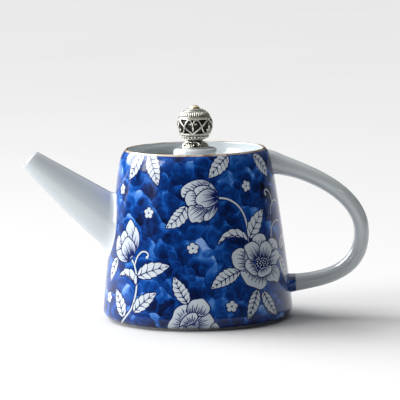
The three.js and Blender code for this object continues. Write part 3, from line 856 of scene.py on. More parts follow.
def painted_glaze():
    """Cobalt ground with the painting, which the 'painting' attribute holds: red for line, green for white
    and blue for how near a petal's root a place is."""
    material, bench = shader("painted_glaze")
    place = bench.place()
    ground = brushed_cobalt(bench, place)
    layers = bench.node("ShaderNodeAttribute", {"attribute_name": "painting"})["Color"]
    layers = bench.node("ShaderNodeSeparateColor", {}, {"Color": layers})
    speck = bench.cloud(place, 160, 4)
    near_root = (layers["Blue"] - 0.18) * 1.6
    wash = (near_root + (speck - 0.5) * 0.35).clamped() * 0.82
    white = bench.mixed(wash, (0.53, 0.59, 0.65, 1), (0.10, 0.15, 0.33, 1))
    ink = bench.mixed(speck, (0.003, 0.007, 0.055, 1), (0.008, 0.020, 0.12, 1))
    colour = bench.mixed(layers["Red"], ground, ink)
    colour = bench.mixed(layers["Green"], colour, white)
    surfaced(
        bench,
        Base_Color=colour,
        Roughness=0.09 + speck * 0.06,
        Normal=glaze_bump(bench, place),
        IOR=1.40,
        Coat_Weight=0.06,
        Coat_Roughness=0.03,
    )
    return material


THIN_WHITE = (0.51, 0.555, 0.58, 1)
FULL_WHITE = (0.58, 0.625, 0.645, 1)


def white_glaze(name="white_glaze"):
    """Clear, faintly blue glaze over white porcelain."""
    material, bench = shader(name)
    place = bench.place()
    cloud = bench.cloud(place, 30, 3)
    tone = (cloud * 0.8 + bench.cloud(place, 600, 2) * 0.2).clamped()
    colour = bench.mixed(tone, THIN_WHITE, FULL_WHITE)
    surfaced(
        bench,
        Base_Color=colour,
        Roughness=0.08 + cloud * 0.08,
        Normal=glaze_bump(bench, place),
        IOR=1.5,
        Coat_Weight=0.5,
        Coat_Roughness=0.03,
    )
    return material


def brown_edge():
    """The thin brown line brushed on the lip."""
    material, bench = shader("brown_edge")
    patch = bench.cloud(bench.place(), 120, 4)
    share = ((patch - 0.42) * 6).clamped()
    colour = bench.mixed(share, (0.52, 0.44, 0.34, 1), (0.19, 0.095, 0.035, 1))
    surfaced(bench, Base_Color=colour, Roughness=0.12 + patch * 0.15, IOR=1.5, Coat_Weight=0.5)
    return material


def bare_porcelain():
    """Unglazed, matt, a little grey."""
    material, bench = shader("bare_porcelain")
    grit = bench.cloud(bench.place(), 900, 5)
    colour = bench.mixed(grit, (0.50, 0.50, 0.48, 1), (0.68, 0.68, 0.66, 1))
    grain = uneven(bench, grit, 0.3, 0.3 * MM)
    surfaced(bench, Base_Color=colour, Roughness=0.75 + grit * 0.15, Normal=grain)
    return material


def placed(name, mesh, body, slot, *nodes):
    """A finished piece in the scene: it rides on a body and stands for CAD nodes."""
    made = add_object(name, mesh)
    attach(made, body)
    if nodes:
        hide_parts(*nodes)


PAINTED, CLEAR, EDGE, BARE = range(4)  # the pot's materials, in their order


def shade(stroke, place):
    """What the attribute 'painting' says of a stroke at one place: line, white, nearness to the root."""
    if stroke is None:
        return 0.0, 0.0, 0.0, 1.0
    _, ink, root, reach = stroke
    if ink == LINE:
        return 1.0, 0.0, 0.0, 1.0
    near = 0.0
    if root is not None:
        near = max(0.0, 1 - hypot(place[0] - root[0], place[1] - root[1]) / reach)
    return 0.0, 1.0, near, 1.0


def pot():
    """The painted wall, lip, mouth, inner wall, floor and foot as one closed skin."""
    hole_out = hole_outline(outside, hole_height)
    flat, faces, paint = rolled_sheet(outside, 44, hole_out, strokes)
    points = [outside.point(*p) for p in flat]
    glaze = [EDGE if stroke and stroke[1] == BROWN else PAINTED for stroke in paint]
    shades = [shade(stroke, flat[corner]) for face, stroke in zip(faces, paint) for corner in face]

    hole_in = hole_outline(inner_side, hole_height - WALL * 0.13)
    inner_flat, inner_faces, _ = rolled_sheet(inner_side, 20, hole_in)
    start = len(points)
    points += [inner_side.point(*p) for p in inner_flat]
    faces += [(start + a, start + c, start + b) for a, b, c in inner_faces]
    glaze += [CLEAR] * len(inner_faces)

    def turned(profile, glazes):
        """Bands of faces from ring to ring, each in its own glaze. Returns each ring's first point."""
        rings = []
        for radius, height in profile:
            rings.append(len(points))
            points.extend((radius * sin(x / ROUND), -radius * cos(x / ROUND), height) for x in columns[:-1])
        for a, b, kind in zip(rings, rings[1:], glazes):
            for i in range(COLUMNS):
                j = (i + 1) % COLUMNS
                faces.append((a + i, a + j, b + j, b + i))
                glaze.append(kind)
        return rings

    lip = [outside.profile[-1]] + ledge_profile() + [inner_side.profile[-1]]
    turned(lip, [EDGE] * 3 + [CLEAR] * len(lip))
    floor = [inner_side.profile[0]] + floor_profile()
    middle = turned(floor, [CLEAR] * len(floor))[-1]
    faces.append(tuple(middle + i for i in range(COLUMNS)))
    glaze.append(CLEAR)
    foot = foot_profile() + [outside.profile[0]]
    middle = turned(foot, [CLEAR] * 2 + [BARE] * len(foot))[0]
    faces.append(tuple(middle + i for i in reversed(range(COLUMNS))))
    glaze.append(CLEAR)
    sides = len(hole_out)
    first = len(points)
    points += [outside.point(*p) for p in hole_out] + [inner_side.point(*p) for p in hole_in]
    for i in range(sides):
        j = (i + 1) % sides
        faces.append((first + i, first + j, first + sides + j, first + sides + i))
    glaze += [CLEAR] * sides

    mesh = bpy.data.meshes.new("pot_body")
    mesh.from_pydata(points, [], faces)
    for material in (painted_glaze(), white_glaze(), brown_edge(), bare_porcelain()):
        mesh.materials.append(material)
    mesh.polygons.foreach_set("material_index", glaze)
    colours = mesh.color_attributes.new("painting", "FLOAT_COLOR", "CORNER")
    for corner, colour in zip(colours.data, shades):
        corner.color = colour
    return mesh


def welded(mesh, distance=1e-6):
    """Joins the points that lie on each other."""
    work = bmesh.new()
    work.from_mesh(mesh)
    bmesh.ops.remove_doubles(work, verts=work.verts, dist=distance)
    bmesh.ops.dissolve_degenerate(work, edges=work.edges, dist=1e-7)
    work.to_mesh(mesh)
    work.free()
    mesh.shade_smooth()
    return mesh


pot_mesh = welded(pot())


def turned_normals(mesh, surface):
    """Gives the outer wall the true normals of the turned surface, whatever its triangles."""
    given = [corner.vector.copy() for corner in mesh.corner_normals]
    heights = [z for r, z in surface.profile]
    lip_radius = surface.profile[-1][0]
    for polygon in mesh.polygons:
        corners = [mesh.vertices[i].co for i in polygon.vertices]
        outer = all(hypot(p.x, p.y) > lip_radius - 1e-6 for p in corners)
        if polygon.material_index not in (PAINTED, EDGE) or not outer:
            continue
        for index, (x, y, z) in zip(polygon.loop_indices, corners):
            k = next((i for i in range(len(heights) - 2) if z < heights[i + 1]), len(heights) - 2)
            share = (z - heights[k]) / max(heights[k + 1] - heights[k], 1e-9)
            up = surface.lengths[k] + share * (surface.lengths[k + 1] - surface.lengths[k])
            given[index] = Vector(surface.normal(atan2(x, -y) * ROUND, max(up, surface.lengths[0])))
    mesh.normals_split_custom_set(given)


turned_normals(pot_mesh, outside)
placed("pot_body", pot_mesh, "pot", "cobalt_porcelain", "pot_body")

# ---- Spout -------------------------------------------------------------------------------------------------
# The spout is a straight tapered tube of white porcelain, cast by itself, cut square at the tip and luted to
# the wall over the strainer, where the joint is smoothed into a fillet.

low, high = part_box("spout")
TIP_TOP = Vector((low.x + 8.7 * MM, 0, high.z))
TIP_FOOT = Vector((low.x, 0, high.z - 9.1 * MM))
TIP_HALF_WIDTH = 6.1 * MM
ROOT_TOP_HEIGHT = RIM_HEIGHT - 27.2 * MM
ROOT_FOOT_HEIGHT = ROOT_TOP_HEIGHT - 34 * MM
ROOT_HALF_WIDTH = 15 * MM
LOWER_BOW = 1.2 * MM
TUBE_WALL = 2.1 * MM
SPOUT_SIDES = 96
TIP_ROUND = 0.011  # the share of the length that the tip's rounded edge takes


def spout_place(share, turn, inset=0.0):
    """A point on the spout's skin: share runs from the tip to the wall, and turn goes round from the top."""
    upper = TIP_TOP.lerp(Vector((-wall_radius(ROOT_TOP_HEIGHT), 0, ROOT_TOP_HEIGHT)), share)
    lower = TIP_FOOT.lerp(Vector((-wall_radius(ROOT_FOOT_HEIGHT), 0, ROOT_FOOT_HEIGHT)), share)
    bow = LOWER_BOW * 4 * share * (1 - share) * sqrt(0.5)
    lower += Vector((-bow, 0, -bow))
    up = upper - lower
    half = up.length / 2 - inset
    wide = TIP_HALF_WIDTH + (ROOT_HALF_WIDTH - TIP_HALF_WIDTH) * share - inset
    place = (upper + lower) / 2 + up.normalized() * half * cos(turn)
    place.y = -wide * sin(turn)
    return place


def spout_meeting(turn, inset=0.0):
    """The share at which the spout's skin meets the pot's wall."""
    near, far = 0.6, 1.3
    for _ in range(30):
        middle = (near + far) / 2
        place = spout_place(middle, turn, inset)
        if hypot(place.x, place.y) > wall_radius(place.z):
            near = middle
        else:
            far = middle
    return near


def on_wall(place, sink=0.0):
    """The same height and bearing as a place, on the pot's wall."""
    radius = wall_radius(place.z) - sink
    bearing = atan2(place.y, place.x)
    return Vector((radius * cos(bearing), radius * sin(bearing), place.z))


def lofted(name, rows):
    """A closed tube skin through rows of points that come back to the first row."""
    sides = len(rows[0])
    points = [tuple(p) for row in rows for p in row]
    faces = []
    for k in range(len(rows)):
        a, b = k * sides, (k + 1) % len(rows) * sides
        faces += [(a + i, a + (i + 1) % sides, b + (i + 1) % sides, b + i) for i in range(sides)]
    mesh = bpy.data.meshes.new(name)
    mesh.from_pydata(points, [], faces)
    mesh.shade_smooth()
    return mesh


def spout():
    """Lines along the tube, from the tip along the outside to the fillet and back along the channel."""
    lines = []
    middle = (ROOT_TOP_HEIGHT + ROOT_FOOT_HEIGHT) / 2
    for i in range(SPOUT_SIDES):
        turn = tau * i / SPOUT_SIDES
        meeting = spout_meeting(turn)
        met = spout_place(meeting, turn)
        aside = Vector((0, met.y, met.z - middle)).normalized()
        spread = met + aside * (4.2 - 1.2 * cos(turn)) * MM
        end = on_wall(spread, 0.2 * MM)
        leaving = meeting - 0.11 + 0.035 * cos(turn)
        begin = spout_place(leaving, turn)
        root = spout_meeting(turn, TUBE_WALL) + 0.02
        line = [spout_place(share, turn, inset * MM) for share, inset in ((0.0, 0.45), (0.004, 0.12))]
        line += [spout_place(TIP_ROUND + (leaving - TIP_ROUND) * step / 15, turn) for step in range(15)]
        line += [begin.lerp(met, t / 12).lerp(met.lerp(end, t / 12), t / 12) for t in range(13)]
        line.append(on_wall(spread, 1.4 * MM))
        line += [spout_place(root * (1 - step / 17), turn, TUBE_WALL) for step in range(17)]
        line.append(spout_place(TIP_ROUND, turn, TUBE_WALL - 0.05 * MM))
        line.append(spout_place(0.004, turn, TUBE_WALL - 0.2 * MM))
        lines.append(line)
    return lofted("spout", list(zip(*lines)))


glazed_white = white_glaze()
spout_mesh = spout()
spout_mesh.materials.append(glazed_white)
placed("spout", spout_mesh, "pot", "white_porcelain", "spout")

# ---- Strainer ----------------------------------------------------------------------------------------------
# A pierced dish of white porcelain is set into the wall behind the spout and holds back the leaves.

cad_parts["strainer"].data.materials.clear()
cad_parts["strainer"].data.materials.append(white_glaze("strainer_glaze"))

# ---- Handle ------------------------------------------------------------------------------------------------
# The handle is a pulled strap of white porcelain, oval in section, that thickens where it is luted to the
# shoulder and to the wall. The cobalt laps a few millimetres on to its lower root.

low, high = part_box("handle")
HANDLE_THICKNESS = 9.2 * MM
HANDLE_WIDTH = 12.4 * MM
TOP_SWELL = 3.1 * MM
FOOT_SWELL = 1.5 * MM
BACK_HEIGHT = 50 * MM
TOP_ROOT_HEIGHT = RIM_HEIGHT - 9.3 * MM
FOOT_ROOT_HEIGHT = 19.2 * MM
COBALT_LAP = 58.8 * MM  # how far out the cobalt reaches along the lower root


def handle_glaze():
    """White glaze, with the pot's cobalt where the lower root meets the wall."""
    material, bench = shader("handle_glaze")
    place = bench.place()
    ground = brushed_cobalt(bench, place)
    cloud = bench.cloud(place, 30, 3)
    white = bench.mixed(cloud, THIN_WHITE, FULL_WHITE)
    axes = bench.split(place)
    wander = (cloud - 0.5) * 0.004
    below = ((BACK_HEIGHT - axes["Z"]) * 1000).clamped()
    lapped = ((COBALT_LAP - axes["X"] + wander) * 4000).clamped() * below
    lip = ((SHOULDER_RADIUS + 2.8 * MM - axes["X"] + wander) * 4000).clamped()
    under = ((TOP_ROOT_HEIGHT - 6.0 * MM - axes["Z"]) * 3000).clamped()
    colour = bench.mixed((lapped + lip * under).clamped(), white, ground)
    surfaced(
        bench,
        Base_Color=colour,
        Roughness=0.08 + cloud * 0.08,
        Normal=glaze_bump(bench, place),
        IOR=1.5,
        Coat_Weight=0.5,
        Coat_Roughness=0.03,
    )
    return material


def handle_path():
    """The strap's centre line, from inside the shoulder round to inside the wall."""
    back = high.x - HANDLE_THICKNESS / 2
    top_root = SHOULDER_RADIUS - 3.0 * MM
    foot_root = wall_radius(FOOT_ROOT_HEIGHT) - 2.2 * MM
    level = TOP_ROOT_HEIGHT
    curve = bpy.data.curves.new("handle_path", "CURVE")
    curve.dimensions = "3D"
    curve.resolution_u = 40
    spline = curve.splines.new("BEZIER")
    spline.bezier_points.add(3)
    places = (
        ((top_root, level), None, (top_root + 1.2 * MM, level)),
        (
            (top_root + 3.6 * MM, level - 0.5 * MM),
            (top_root + 2.4 * MM, level - 0.15 * MM),
            (top_root + (back - top_root) * 0.5, level - 6.7 * MM),
        ),
        ((back, BACK_HEIGHT), (back, BACK_HEIGHT + 22 * MM), (back, BACK_HEIGHT - 20 * MM)),
        (
            (foot_root, FOOT_ROOT_HEIGHT),
            (foot_root + (back - foot_root) * 0.7, FOOT_ROOT_HEIGHT + 2.3 * MM),
            None,
        ),
    )
    for knot, (middle, before, after) in zip(spline.bezier_points, places):
        knot.handle_left_type = knot.handle_right_type = "FREE"
        knot.co = (middle[0], 0, middle[1])
        first, second = before or middle, after or middle
        knot.handle_left = (first[0], 0, first[1])
        knot.handle_right = (second[0], 0, second[1])
    return curve


class Geometry(Bench):
    """A Geometry Nodes tree with named inputs, which makes a plain mesh."""

    def __init__(self, name, **inputs):
        super().__init__(bpy.data.node_groups.new(name, "GeometryNodeTree"))
        face = self.tree.interface
        face.new_socket("Geometry", in_out="INPUT", socket_type="NodeSocketGeometry")
        face.new_socket("Geometry", in_out="OUTPUT", socket_type="NodeSocketGeometry")
        self.keys = {}
        self.values = inputs
        for label, value in inputs.items():
            kind = "NodeSocketInt" if isinstance(value, int) else "NodeSocketFloat"
            self.keys[label] = face.new_socket(label, in_out="INPUT", socket_type=kind).identifier
        self.given = self.node("NodeGroupInput")

    def result(self, geometry, material):
        """Ends the tree: instances made real, and the material set."""
        smooth_faces = self.node("GeometryNodeSetShadeSmooth", {}, {"Geometry": geometry})["Geometry"]
        real = self.node("GeometryNodeRealizeInstances", {}, {"Geometry": smooth_faces})["Geometry"]
        sockets = {"Geometry": real, "Material": material}
        dressed = self.node("GeometryNodeSetMaterial", {}, sockets)["Geometry"]
        self.node("NodeGroupOutput", {}, {"Geometry": dressed})

    def made(self, name, data):
        """The tree's mesh for some starting data, as plain data."""
        rough = add_object(name + "_rough", data)
        modifier = rough.modifiers.new(name, "NODES")
        modifier.node_group = self.tree
        for label, key in self.keys.items():
            modifier[key] = self.values[label]
        finished = rough.evaluated_get(bpy.context.evaluated_depsgraph_get())
        mesh = bpy.data.meshes.new_from_object(finished)
        bpy.data.objects.remove(rough)
        mesh.name = name
        return mesh


def handle():
    """An oval swept along the strap's centre line, swelling towards both roots."""
    tree = Geometry(
        "handle",
        thickness=HANDLE_THICKNESS,
        width=HANDLE_WIDTH,
        top_swell=TOP_SWELL,
        foot_swell=FOOT_SWELL,
        steps=110,
    )
    given = tree.given
    sockets = {"Curve": given["Geometry"], "Count": given["steps"]}
    line = tree.node("GeometryNodeResampleCurve", {}, sockets)["Curve"]
    along = tree.node("GeometryNodeSplineParameter")["Factor"]
    from_top = tree.node("ShaderNodeMath", {"operation": "EXPONENT"}, {0: along * (-1 / 0.08)})["Value"]
    from_foot = (1 - along) * (-1 / 0.05)
    from_foot = tree.node("ShaderNodeMath", {"operation": "EXPONENT"}, {0: from_foot})["Value"]
    swell = from_top * given["top_swell"] + from_foot * given["foot_swell"]
    half = given["thickness"] * 0.5
    grown = (half + swell) / half
    kept = tree.node("GeometryNodeCaptureAttribute", {}, {"Geometry": line})
    capture = kept["Geometry"].socket.node
    capture.capture_items.new("FLOAT", "Grown")
    tree.tree.links.new(grown.socket, capture.inputs["Grown"])
    line = Wire(tree, capture.outputs["Geometry"])
    grown_here = Wire(tree, capture.outputs["Grown"])
    oval = tree.node("GeometryNodeCurvePrimitiveCircle", {}, {"Resolution": 48, "Radius": 1.0})["Curve"]
    scale = tree.node("ShaderNodeCombineXYZ", {}, {"X": given["width"] * 0.5, "Y": half, "Z": 1.0})
    oval = tree.node("GeometryNodeTransform", {}, {"Geometry": oval, "Scale": scale["Vector"]})["Geometry"]
    sockets = {"Curve": line, "Profile Curve": oval, "Scale": grown_here, "Fill Caps": True}
    swept = tree.node("GeometryNodeCurveToMesh", {}, sockets)["Mesh"]
    place = tree.node("GeometryNodeInputPosition")["Position"]
    axes = tree.node("ShaderNodeSeparateXYZ", {}, {"Vector": place})
    narrowed = axes["Y"] * ((1 + grown_here) * 0.5 / grown_here)
    place = tree.node("ShaderNodeCombineXYZ", {}, {"X": axes["X"], "Y": narrowed, "Z": axes["Z"]})["Vector"]
    swept = tree.node("GeometryNodeSetPosition", {}, {"Geometry": swept, "Position": place})["Geometry"]
    tree.result(swept, handle_glaze())
    return tree.made("handle", handle_path())


placed("handle", handle(), "pot", "white_porcelain", "handle")

# ---- Lid ---------------------------------------------------------------------------------------------------
# The lid is turned white porcelain: a flat plate sunk below the rim, a skirt that centres it in the mouth,
# and a round mound in the middle that lifts the knob above the rim.

low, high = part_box("lid")
LID_TOP = LEDGE_HEIGHT + 3 * MM
LID_RADIUS = mouth_radius - 0.7 * MM
SKIRT_RADIUS = mouth_radius - LEDGE_WIDTH - 0.6 * MM
SKIRT_WALL = 2.8 * MM
MOUND_TOP = high.z
MOUND_RADIUS = 13.3 * MM
MOUND_HOLLOW = 9.5 * MM
HOLLOW_TOP = MOUND_TOP - 3.8 * MM
SCREW_BORE = 1.7 * MM
VENT_RADIUS = 1.5 * MM
VENT_OFFSET = 24 * MM


def rounded(points, radius=0.5 * MM, pieces=4):
    """A closed profile with every corner rounded. A third value on a point sets its own radius."""
    made = []
    count = len(points)
    for i, point in enumerate(points):
        here = Vector(point[:2])
        before, after = Vector(points[i - 1][:2]), Vector(points[(i + 1) % count][:2])
        own = point[2] if len(point) > 2 else radius
        back = min(own, (before - here).length * 0.45)
        on = min(own, (after - here).length * 0.45)
        start = here + (before - here).normalized() * back
        end = here + (after - here).normalized() * on
        for step in range(pieces + 1):
            t = step / pieces
            made.append(tuple(start.lerp(here, t).lerp(here.lerp(end, t), t)))
    return made


def turned_ring(name, profile, sides=128):
    """A closed profile turned about the pot's axis."""
    if sum(a[0] * b[1] - b[0] * a[1] for a, b in zip(profile, profile[1:] + profile[:1])) < 0:
        profile = profile[::-1]
    rows = []
    for r, z in profile:
        rows.append([(r * cos(tau * i / sides), r * sin(tau * i / sides), z) for i in range(sides)])
    return lofted(name, rows)


def drilled(mesh, x, y, height, radius):
    """The mesh with an upright round hole through it."""
    sides = 48
    rings = circle(radius, height - 20 * MM, sides, x, y) + circle(radius, height + 20 * MM, sides, x, y)
    bar = bpy.data.meshes.new("bar")
    faces = [(i, (i + 1) % sides, sides + (i + 1) % sides, sides + i) for i in range(sides)]
    faces += [tuple(reversed(range(sides))), tuple(range(sides, 2 * sides))]
    bar.from_pydata(rings, [], faces)
    whole, drill = add_object("whole", mesh), add_object("drill", bar)
    cut = whole.modifiers.new("cut", "BOOLEAN")
    cut.object = drill
    cut.solver = "EXACT"
    made = bpy.data.meshes.new_from_object(whole.evaluated_get(bpy.context.evaluated_depsgraph_get()))
    bpy.data.objects.remove(whole)
    bpy.data.objects.remove(drill)
    made.name = mesh.name
    return made


def lid():
    """The plate, skirt and mound turned in one profile, with the vent drilled through the plate."""
    skirt_foot = low.z
    profile = rounded(
        [
            (SCREW_BORE, MOUND_TOP, 0.3 * MM),
            (MOUND_RADIUS, MOUND_TOP, 3.2 * MM),
            (MOUND_RADIUS, LID_TOP, 3.0 * MM),
            (LID_RADIUS, LID_TOP, 1.4 * MM),
            (LID_RADIUS, LEDGE_HEIGHT, 0.3 * MM),
            (SKIRT_RADIUS, LEDGE_HEIGHT, 0.3 * MM),
            (SKIRT_RADIUS, skirt_foot, 1.2 * MM),
            (SKIRT_RADIUS - SKIRT_WALL, skirt_foot, 1.2 * MM),
            (SKIRT_RADIUS - SKIRT_WALL, LEDGE_HEIGHT, 1.5 * MM),
            (MOUND_HOLLOW, LEDGE_HEIGHT, 1.0 * MM),
            (MOUND_HOLLOW, HOLLOW_TOP, 1.0 * MM),
            (SCREW_BORE, HOLLOW_TOP, 0.3 * MM),
        ],
        pieces=8,
    )
    mesh = drilled(turned_ring("lid", profile, 160), VENT_OFFSET, 0, LID_TOP, VENT_RADIUS)
    mesh.set_sharp_from_angle(angle=radians(35))
    mesh.materials.append(white_glaze("lid_glaze"))
    return mesh


placed("lid", lid(), "lid", "white_porcelain", "lid")

# ---- Knob collar -------------------------------------------------------------------------------------------
# A cast silver bell of pierced arches, each with a pair of small scrolls, carries the ball on the lid.

low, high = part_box("knob_collar")
COLLAR_FOOT = low.z
COLLAR_TOP = high.z
COLLAR_RADIUS = high.x
COLLAR_NECK = 4.7 * MM
WIRE = 0.46 * MM  # half the thickness of the cast wires


def antique_silver(name, centre, surface, depth, bright=(0.67, 0.66, 0.58, 1)):
    """Silver, polished where it stands proud and black with tarnish nearer to the centre. Given a surface far
    outside the part, as for the sheets inside the knob, it is black all over, which is painted shade.
    """
    material, bench = shader(name)
    place = bench.place()
    away = bench.node("ShaderNodeVectorMath", {"operation": "DISTANCE"}, {0: place, 1: centre})["Value"]
    stain = bench.cloud(place, 700, 4)
    scratch = bench.cloud(place, 2600, 2)
    share = ((away - (surface - depth)) * (1 / depth) + (stain - 0.5) * 1.2).clamped()
    colour = bench.mixed(share, (0.012, 0.010, 0.007, 1), bright)
    surfaced(
        bench,
        Base_Color=colour,
        Metallic=0.2 + share * 0.8,
        Roughness=0.50 - share * 0.34 + scratch * 0.06,
        Normal=uneven(bench, scratch, 0.35, 0.2 * MM),
    )
    return material


def wires(name, lines):
    """A curve object's data with one smooth open line for each list of (place, thickness)."""
    curve = bpy.data.curves.new(name, "CURVE")
    curve.dimensions = "3D"
    for line in lines:
        spline = curve.splines.new("POLY")
        spline.points.add(len(line) - 1)
        for point, (place, thickness) in zip(spline.points, line):
            point.co = (*place, 1)
            point.radius = thickness
    return curve


def mirrored(lines):
    """Lines drawn on one side of a middle line, and their mirror images."""
    return lines + [[(-x, y, t) for x, y, t in line] for line in lines]


def bent_lines(lines, onto, pieces=6):
    """Flat lines of (x, y, thickness) made smooth and laid on a surface by onto(x, y)."""
    made = []
    for line in lines:
        path = smooth([(x, y) for x, y, _ in line], pieces, closed=False)
        laid = []
        for i, (x, y) in enumerate(path):
            k = min(int(i / pieces), len(line) - 2)
            share = i / pieces - k
            laid.append((onto(x, y), line[k][2] + (line[k + 1][2] - line[k][2]) * share))
        made.append(laid)
    return made


def cast_wire(tree, lines, radius):
    """Curves made into round wires with closed ends."""
    circle = tree.node("GeometryNodeCurvePrimitiveCircle", {}, {"Resolution": 10, "Radius": radius})["Curve"]
    thickness = tree.node("GeometryNodeInputRadius")["Radius"]
    sockets = {"Curve": lines, "Profile Curve": circle, "Scale": thickness, "Fill Caps": True}
    return tree.node("GeometryNodeCurveToMesh", {}, sockets)["Mesh"]


def round_about(tree, geometry, count):
    """Copies of a geometry spaced evenly about the upright axis."""
    seats = tree.node("GeometryNodePoints", {}, {"Count": count})["Points"]
    index = tree.node("GeometryNodeInputIndex")["Index"]
    turn = tree.node("ShaderNodeCombineXYZ", {}, {"Z": index * tau / count})["Vector"]
    sockets = {"Points": seats, "Instance": geometry, "Rotation": turn}
    return tree.node("GeometryNodeInstanceOnPoints", {}, sockets)["Instances"]


def hoop(tree, radius, height, thickness):
    """A round wire ring about the upright axis."""
    loop = tree.node("GeometryNodeCurvePrimitiveCircle", {}, {"Resolution": 96, "Radius": radius})["Curve"]
    sockets = {"Resolution": 12, "Radius": thickness}
    section = tree.node("GeometryNodeCurvePrimitiveCircle", {}, sockets)["Curve"]
    ring = tree.node("GeometryNodeCurveToMesh", {}, {"Curve": loop, "Profile Curve": section})["Mesh"]
    lift = tree.node("ShaderNodeCombineXYZ", {}, {"Z": height})["Vector"]
    return tree.node("GeometryNodeTransform", {}, {"Geometry": ring, "Translation": lift})["Geometry"]


def together(tree, *geometries):
    """Several geometries joined into one."""
    join = tree.node("GeometryNodeJoinGeometry")["Geometry"].socket
    for geometry in geometries:
        tree.tree.links.new(geometry.socket, join.node.inputs[0])
    return Wire(tree, join)


def bell_radius(share):
    """The bell's radius, from its foot at 0 to its neck at 1."""
    return COLLAR_NECK + (COLLAR_RADIUS - COLLAR_NECK) * (1 - share**2.2)


def on_bell(degrees_round, height):
    """A place on the collar's bell: an angle from the front, and a height above its foot in millimetres."""
    radius = bell_radius(height * MM / (COLLAR_TOP - COLLAR_FOOT)) - WIRE
    turn = radians(degrees_round)
    return (radius * sin(turn), -radius * cos(turn), COLLAR_FOOT + height * MM)


def collar():
    """Arches and their scrolls bent on to the bell and repeated round it, between a foot ring and a neck."""
    arches = mirrored([
        [(-29, 0.5, 1.3), (-26.5, 1.7, 1.3), (-18, 3.0, 1.2), (-8, 3.5, 1.2), (0, 3.6, 1.2)],
        [(-4, 0.5, 1.0), (-13, 0.7, 1.0), (-16, 1.7, 1.0), (-9, 2.4, 1.0), (-6, 1.6, 1.3)],
    ])
    tree = Geometry("collar", arches=6, wire=0.37 * MM)
    given = tree.given
    arch = cast_wire(tree, given["Geometry"], given["wire"])
    foot = hoop(tree, COLLAR_RADIUS - WIRE * 1.1, COLLAR_FOOT + WIRE, WIRE)
    neck = hoop(tree, COLLAR_NECK - WIRE * 0.3, COLLAR_TOP - WIRE * 1.2, WIRE * 1.2)
    seat = hoop(tree, COLLAR_NECK - WIRE * 3, COLLAR_TOP - WIRE * 2.2, WIRE * 1.9)
    whole = together(tree, round_about(tree, arch, given["arches"]), foot, neck, seat)
    centre = (0, 0, COLLAR_FOOT - 3 * MM)
    tree.result(whole, antique_silver("collar_silver", centre, 8.3 * MM, 0.9 * MM))
    return tree.made("knob_collar", wires("arch", bent_lines(arches, on_bell)))


def collar_lining():
    """A near-black sheet inside the bell, behind the arches: painted shade that stands for the shadow seen
    through the openings.
    """
    inset = 2.6 * WIRE
    height = COLLAR_TOP - COLLAR_FOOT - 2 * WIRE
    skin = [(bell_radius(i / 8) - inset, COLLAR_FOOT + 0.02 * MM + height * i / 8) for i in range(9)]
    lining = [(r - 0.5 * MM, z - 0.15 * MM if z > COLLAR_FOOT + 0.3 * MM else z) for r, z in reversed(skin)]
    mesh = turned_ring("collar_lining", skin + lining, 64)
    # The centre and depth given make this sheet black all over: painted shade.
    mesh.materials.append(antique_silver("collar_black", (0, 0, COLLAR_FOOT), 30 * MM, 5 * MM))
    return mesh


placed("knob_collar", collar(), "knob", "silver", "knob_collar")
# The black sheet in the bell stands for shadow: painted shade.
placed("collar_lining", collar_lining(), "knob", "silver")

# ---- Knob ball ---------------------------------------------------------------------------------------------
# The ball is cast silver, hollow, in three bands: a capped top ringed with small ribs, a pierced middle of
# hearts and scrolls, and a bowl below ringed with beads.

low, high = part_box("knob_ball")
BALL_RADIUS = 10.75 * MM
BALL_FOOT = low.z
BALL_TOP = high.z
ball_centre = BALL_FOOT + sqrt(BALL_RADIUS**2 - (4.2 * MM) ** 2)
BAND_TOP, BAND_FOOT = 23, -30  # degrees above and below the middle
CAP_HOOPS = ((BAND_TOP, 1.1), (28, 0.6), (52, 0.9), (61, 0.9))  # degrees up, and how many wires thick
BOWL_HOOPS = ((BAND_FOOT, 1.1), (-35, 0.6), (-52, 0.9))


def on_ball(degrees_round, degrees_up, sink=WIRE):
    """A place on the ball, sunk a little below its outermost surface."""
    turn, rise = radians(degrees_round), radians(degrees_up)
    radius = BALL_RADIUS - sink
    return (
        radius * cos(rise) * sin(turn),
        -radius * cos(rise) * cos(turn),
        ball_centre + radius * sin(rise),
    )


def ball_shell(start, end, hole, shell=0.9 * MM, inset=0.55 * MM):
    """A bowl-shaped part of the ball's wall between two heights, in degrees, as a closed profile."""
    outer = BALL_RADIUS - inset
    steps = [start + (end - start) * i / 14 for i in range(15)]
    skin = [(outer * cos(radians(a)), ball_centre + outer * sin(radians(a))) for a in steps]
    inner = outer - shell
    lining = [(inner * cos(radians(a)), ball_centre + inner * sin(radians(a))) for a in reversed(steps)]
    return [(max(r, hole), z) for r, z in skin + lining]


def ball_caps():
    """The top cap and the bowl below as one starting mesh."""
    crown = degrees(asin((BALL_TOP - ball_centre) / BALL_RADIUS))
    foot = -degrees(asin((ball_centre - BALL_FOOT) / BALL_RADIUS))
    work = bmesh.new()
    work.from_mesh(turned_ring("cap", ball_shell(BAND_TOP + 2, crown, 2.6 * MM), 96))
    work.from_mesh(turned_ring("bowl", ball_shell(foot, BAND_FOOT - 3, 1.8 * MM), 96))
    both = bpy.data.meshes.new("caps")
    work.to_mesh(both)
    work.free()
    return both


def beads(tree, count, degrees_up, size, tall=1.0):
    """A row of beads round the ball, or of ribs where tall is more than 1."""
    bead = tree.node("GeometryNodeMeshUVSphere", {}, {"Segments": 10, "Rings": 6, "Radius": size})["Mesh"]
    stretch = tree.node("ShaderNodeCombineXYZ", {}, {"X": 1.0, "Y": 0.8, "Z": tall})["Vector"]
    tilt = tree.node("ShaderNodeCombineXYZ", {}, {"X": radians(-degrees_up)})["Vector"]
    seat = dict(zip("XYZ", on_ball(0, degrees_up, 0.35 * MM)))
    seat = tree.node("ShaderNodeCombineXYZ", {}, seat)["Vector"]
    sockets = {"Geometry": bead, "Translation": seat, "Rotation": tilt, "Scale": stretch}
    bead = tree.node("GeometryNodeTransform", {}, sockets)["Geometry"]
    return round_about(tree, bead, count)


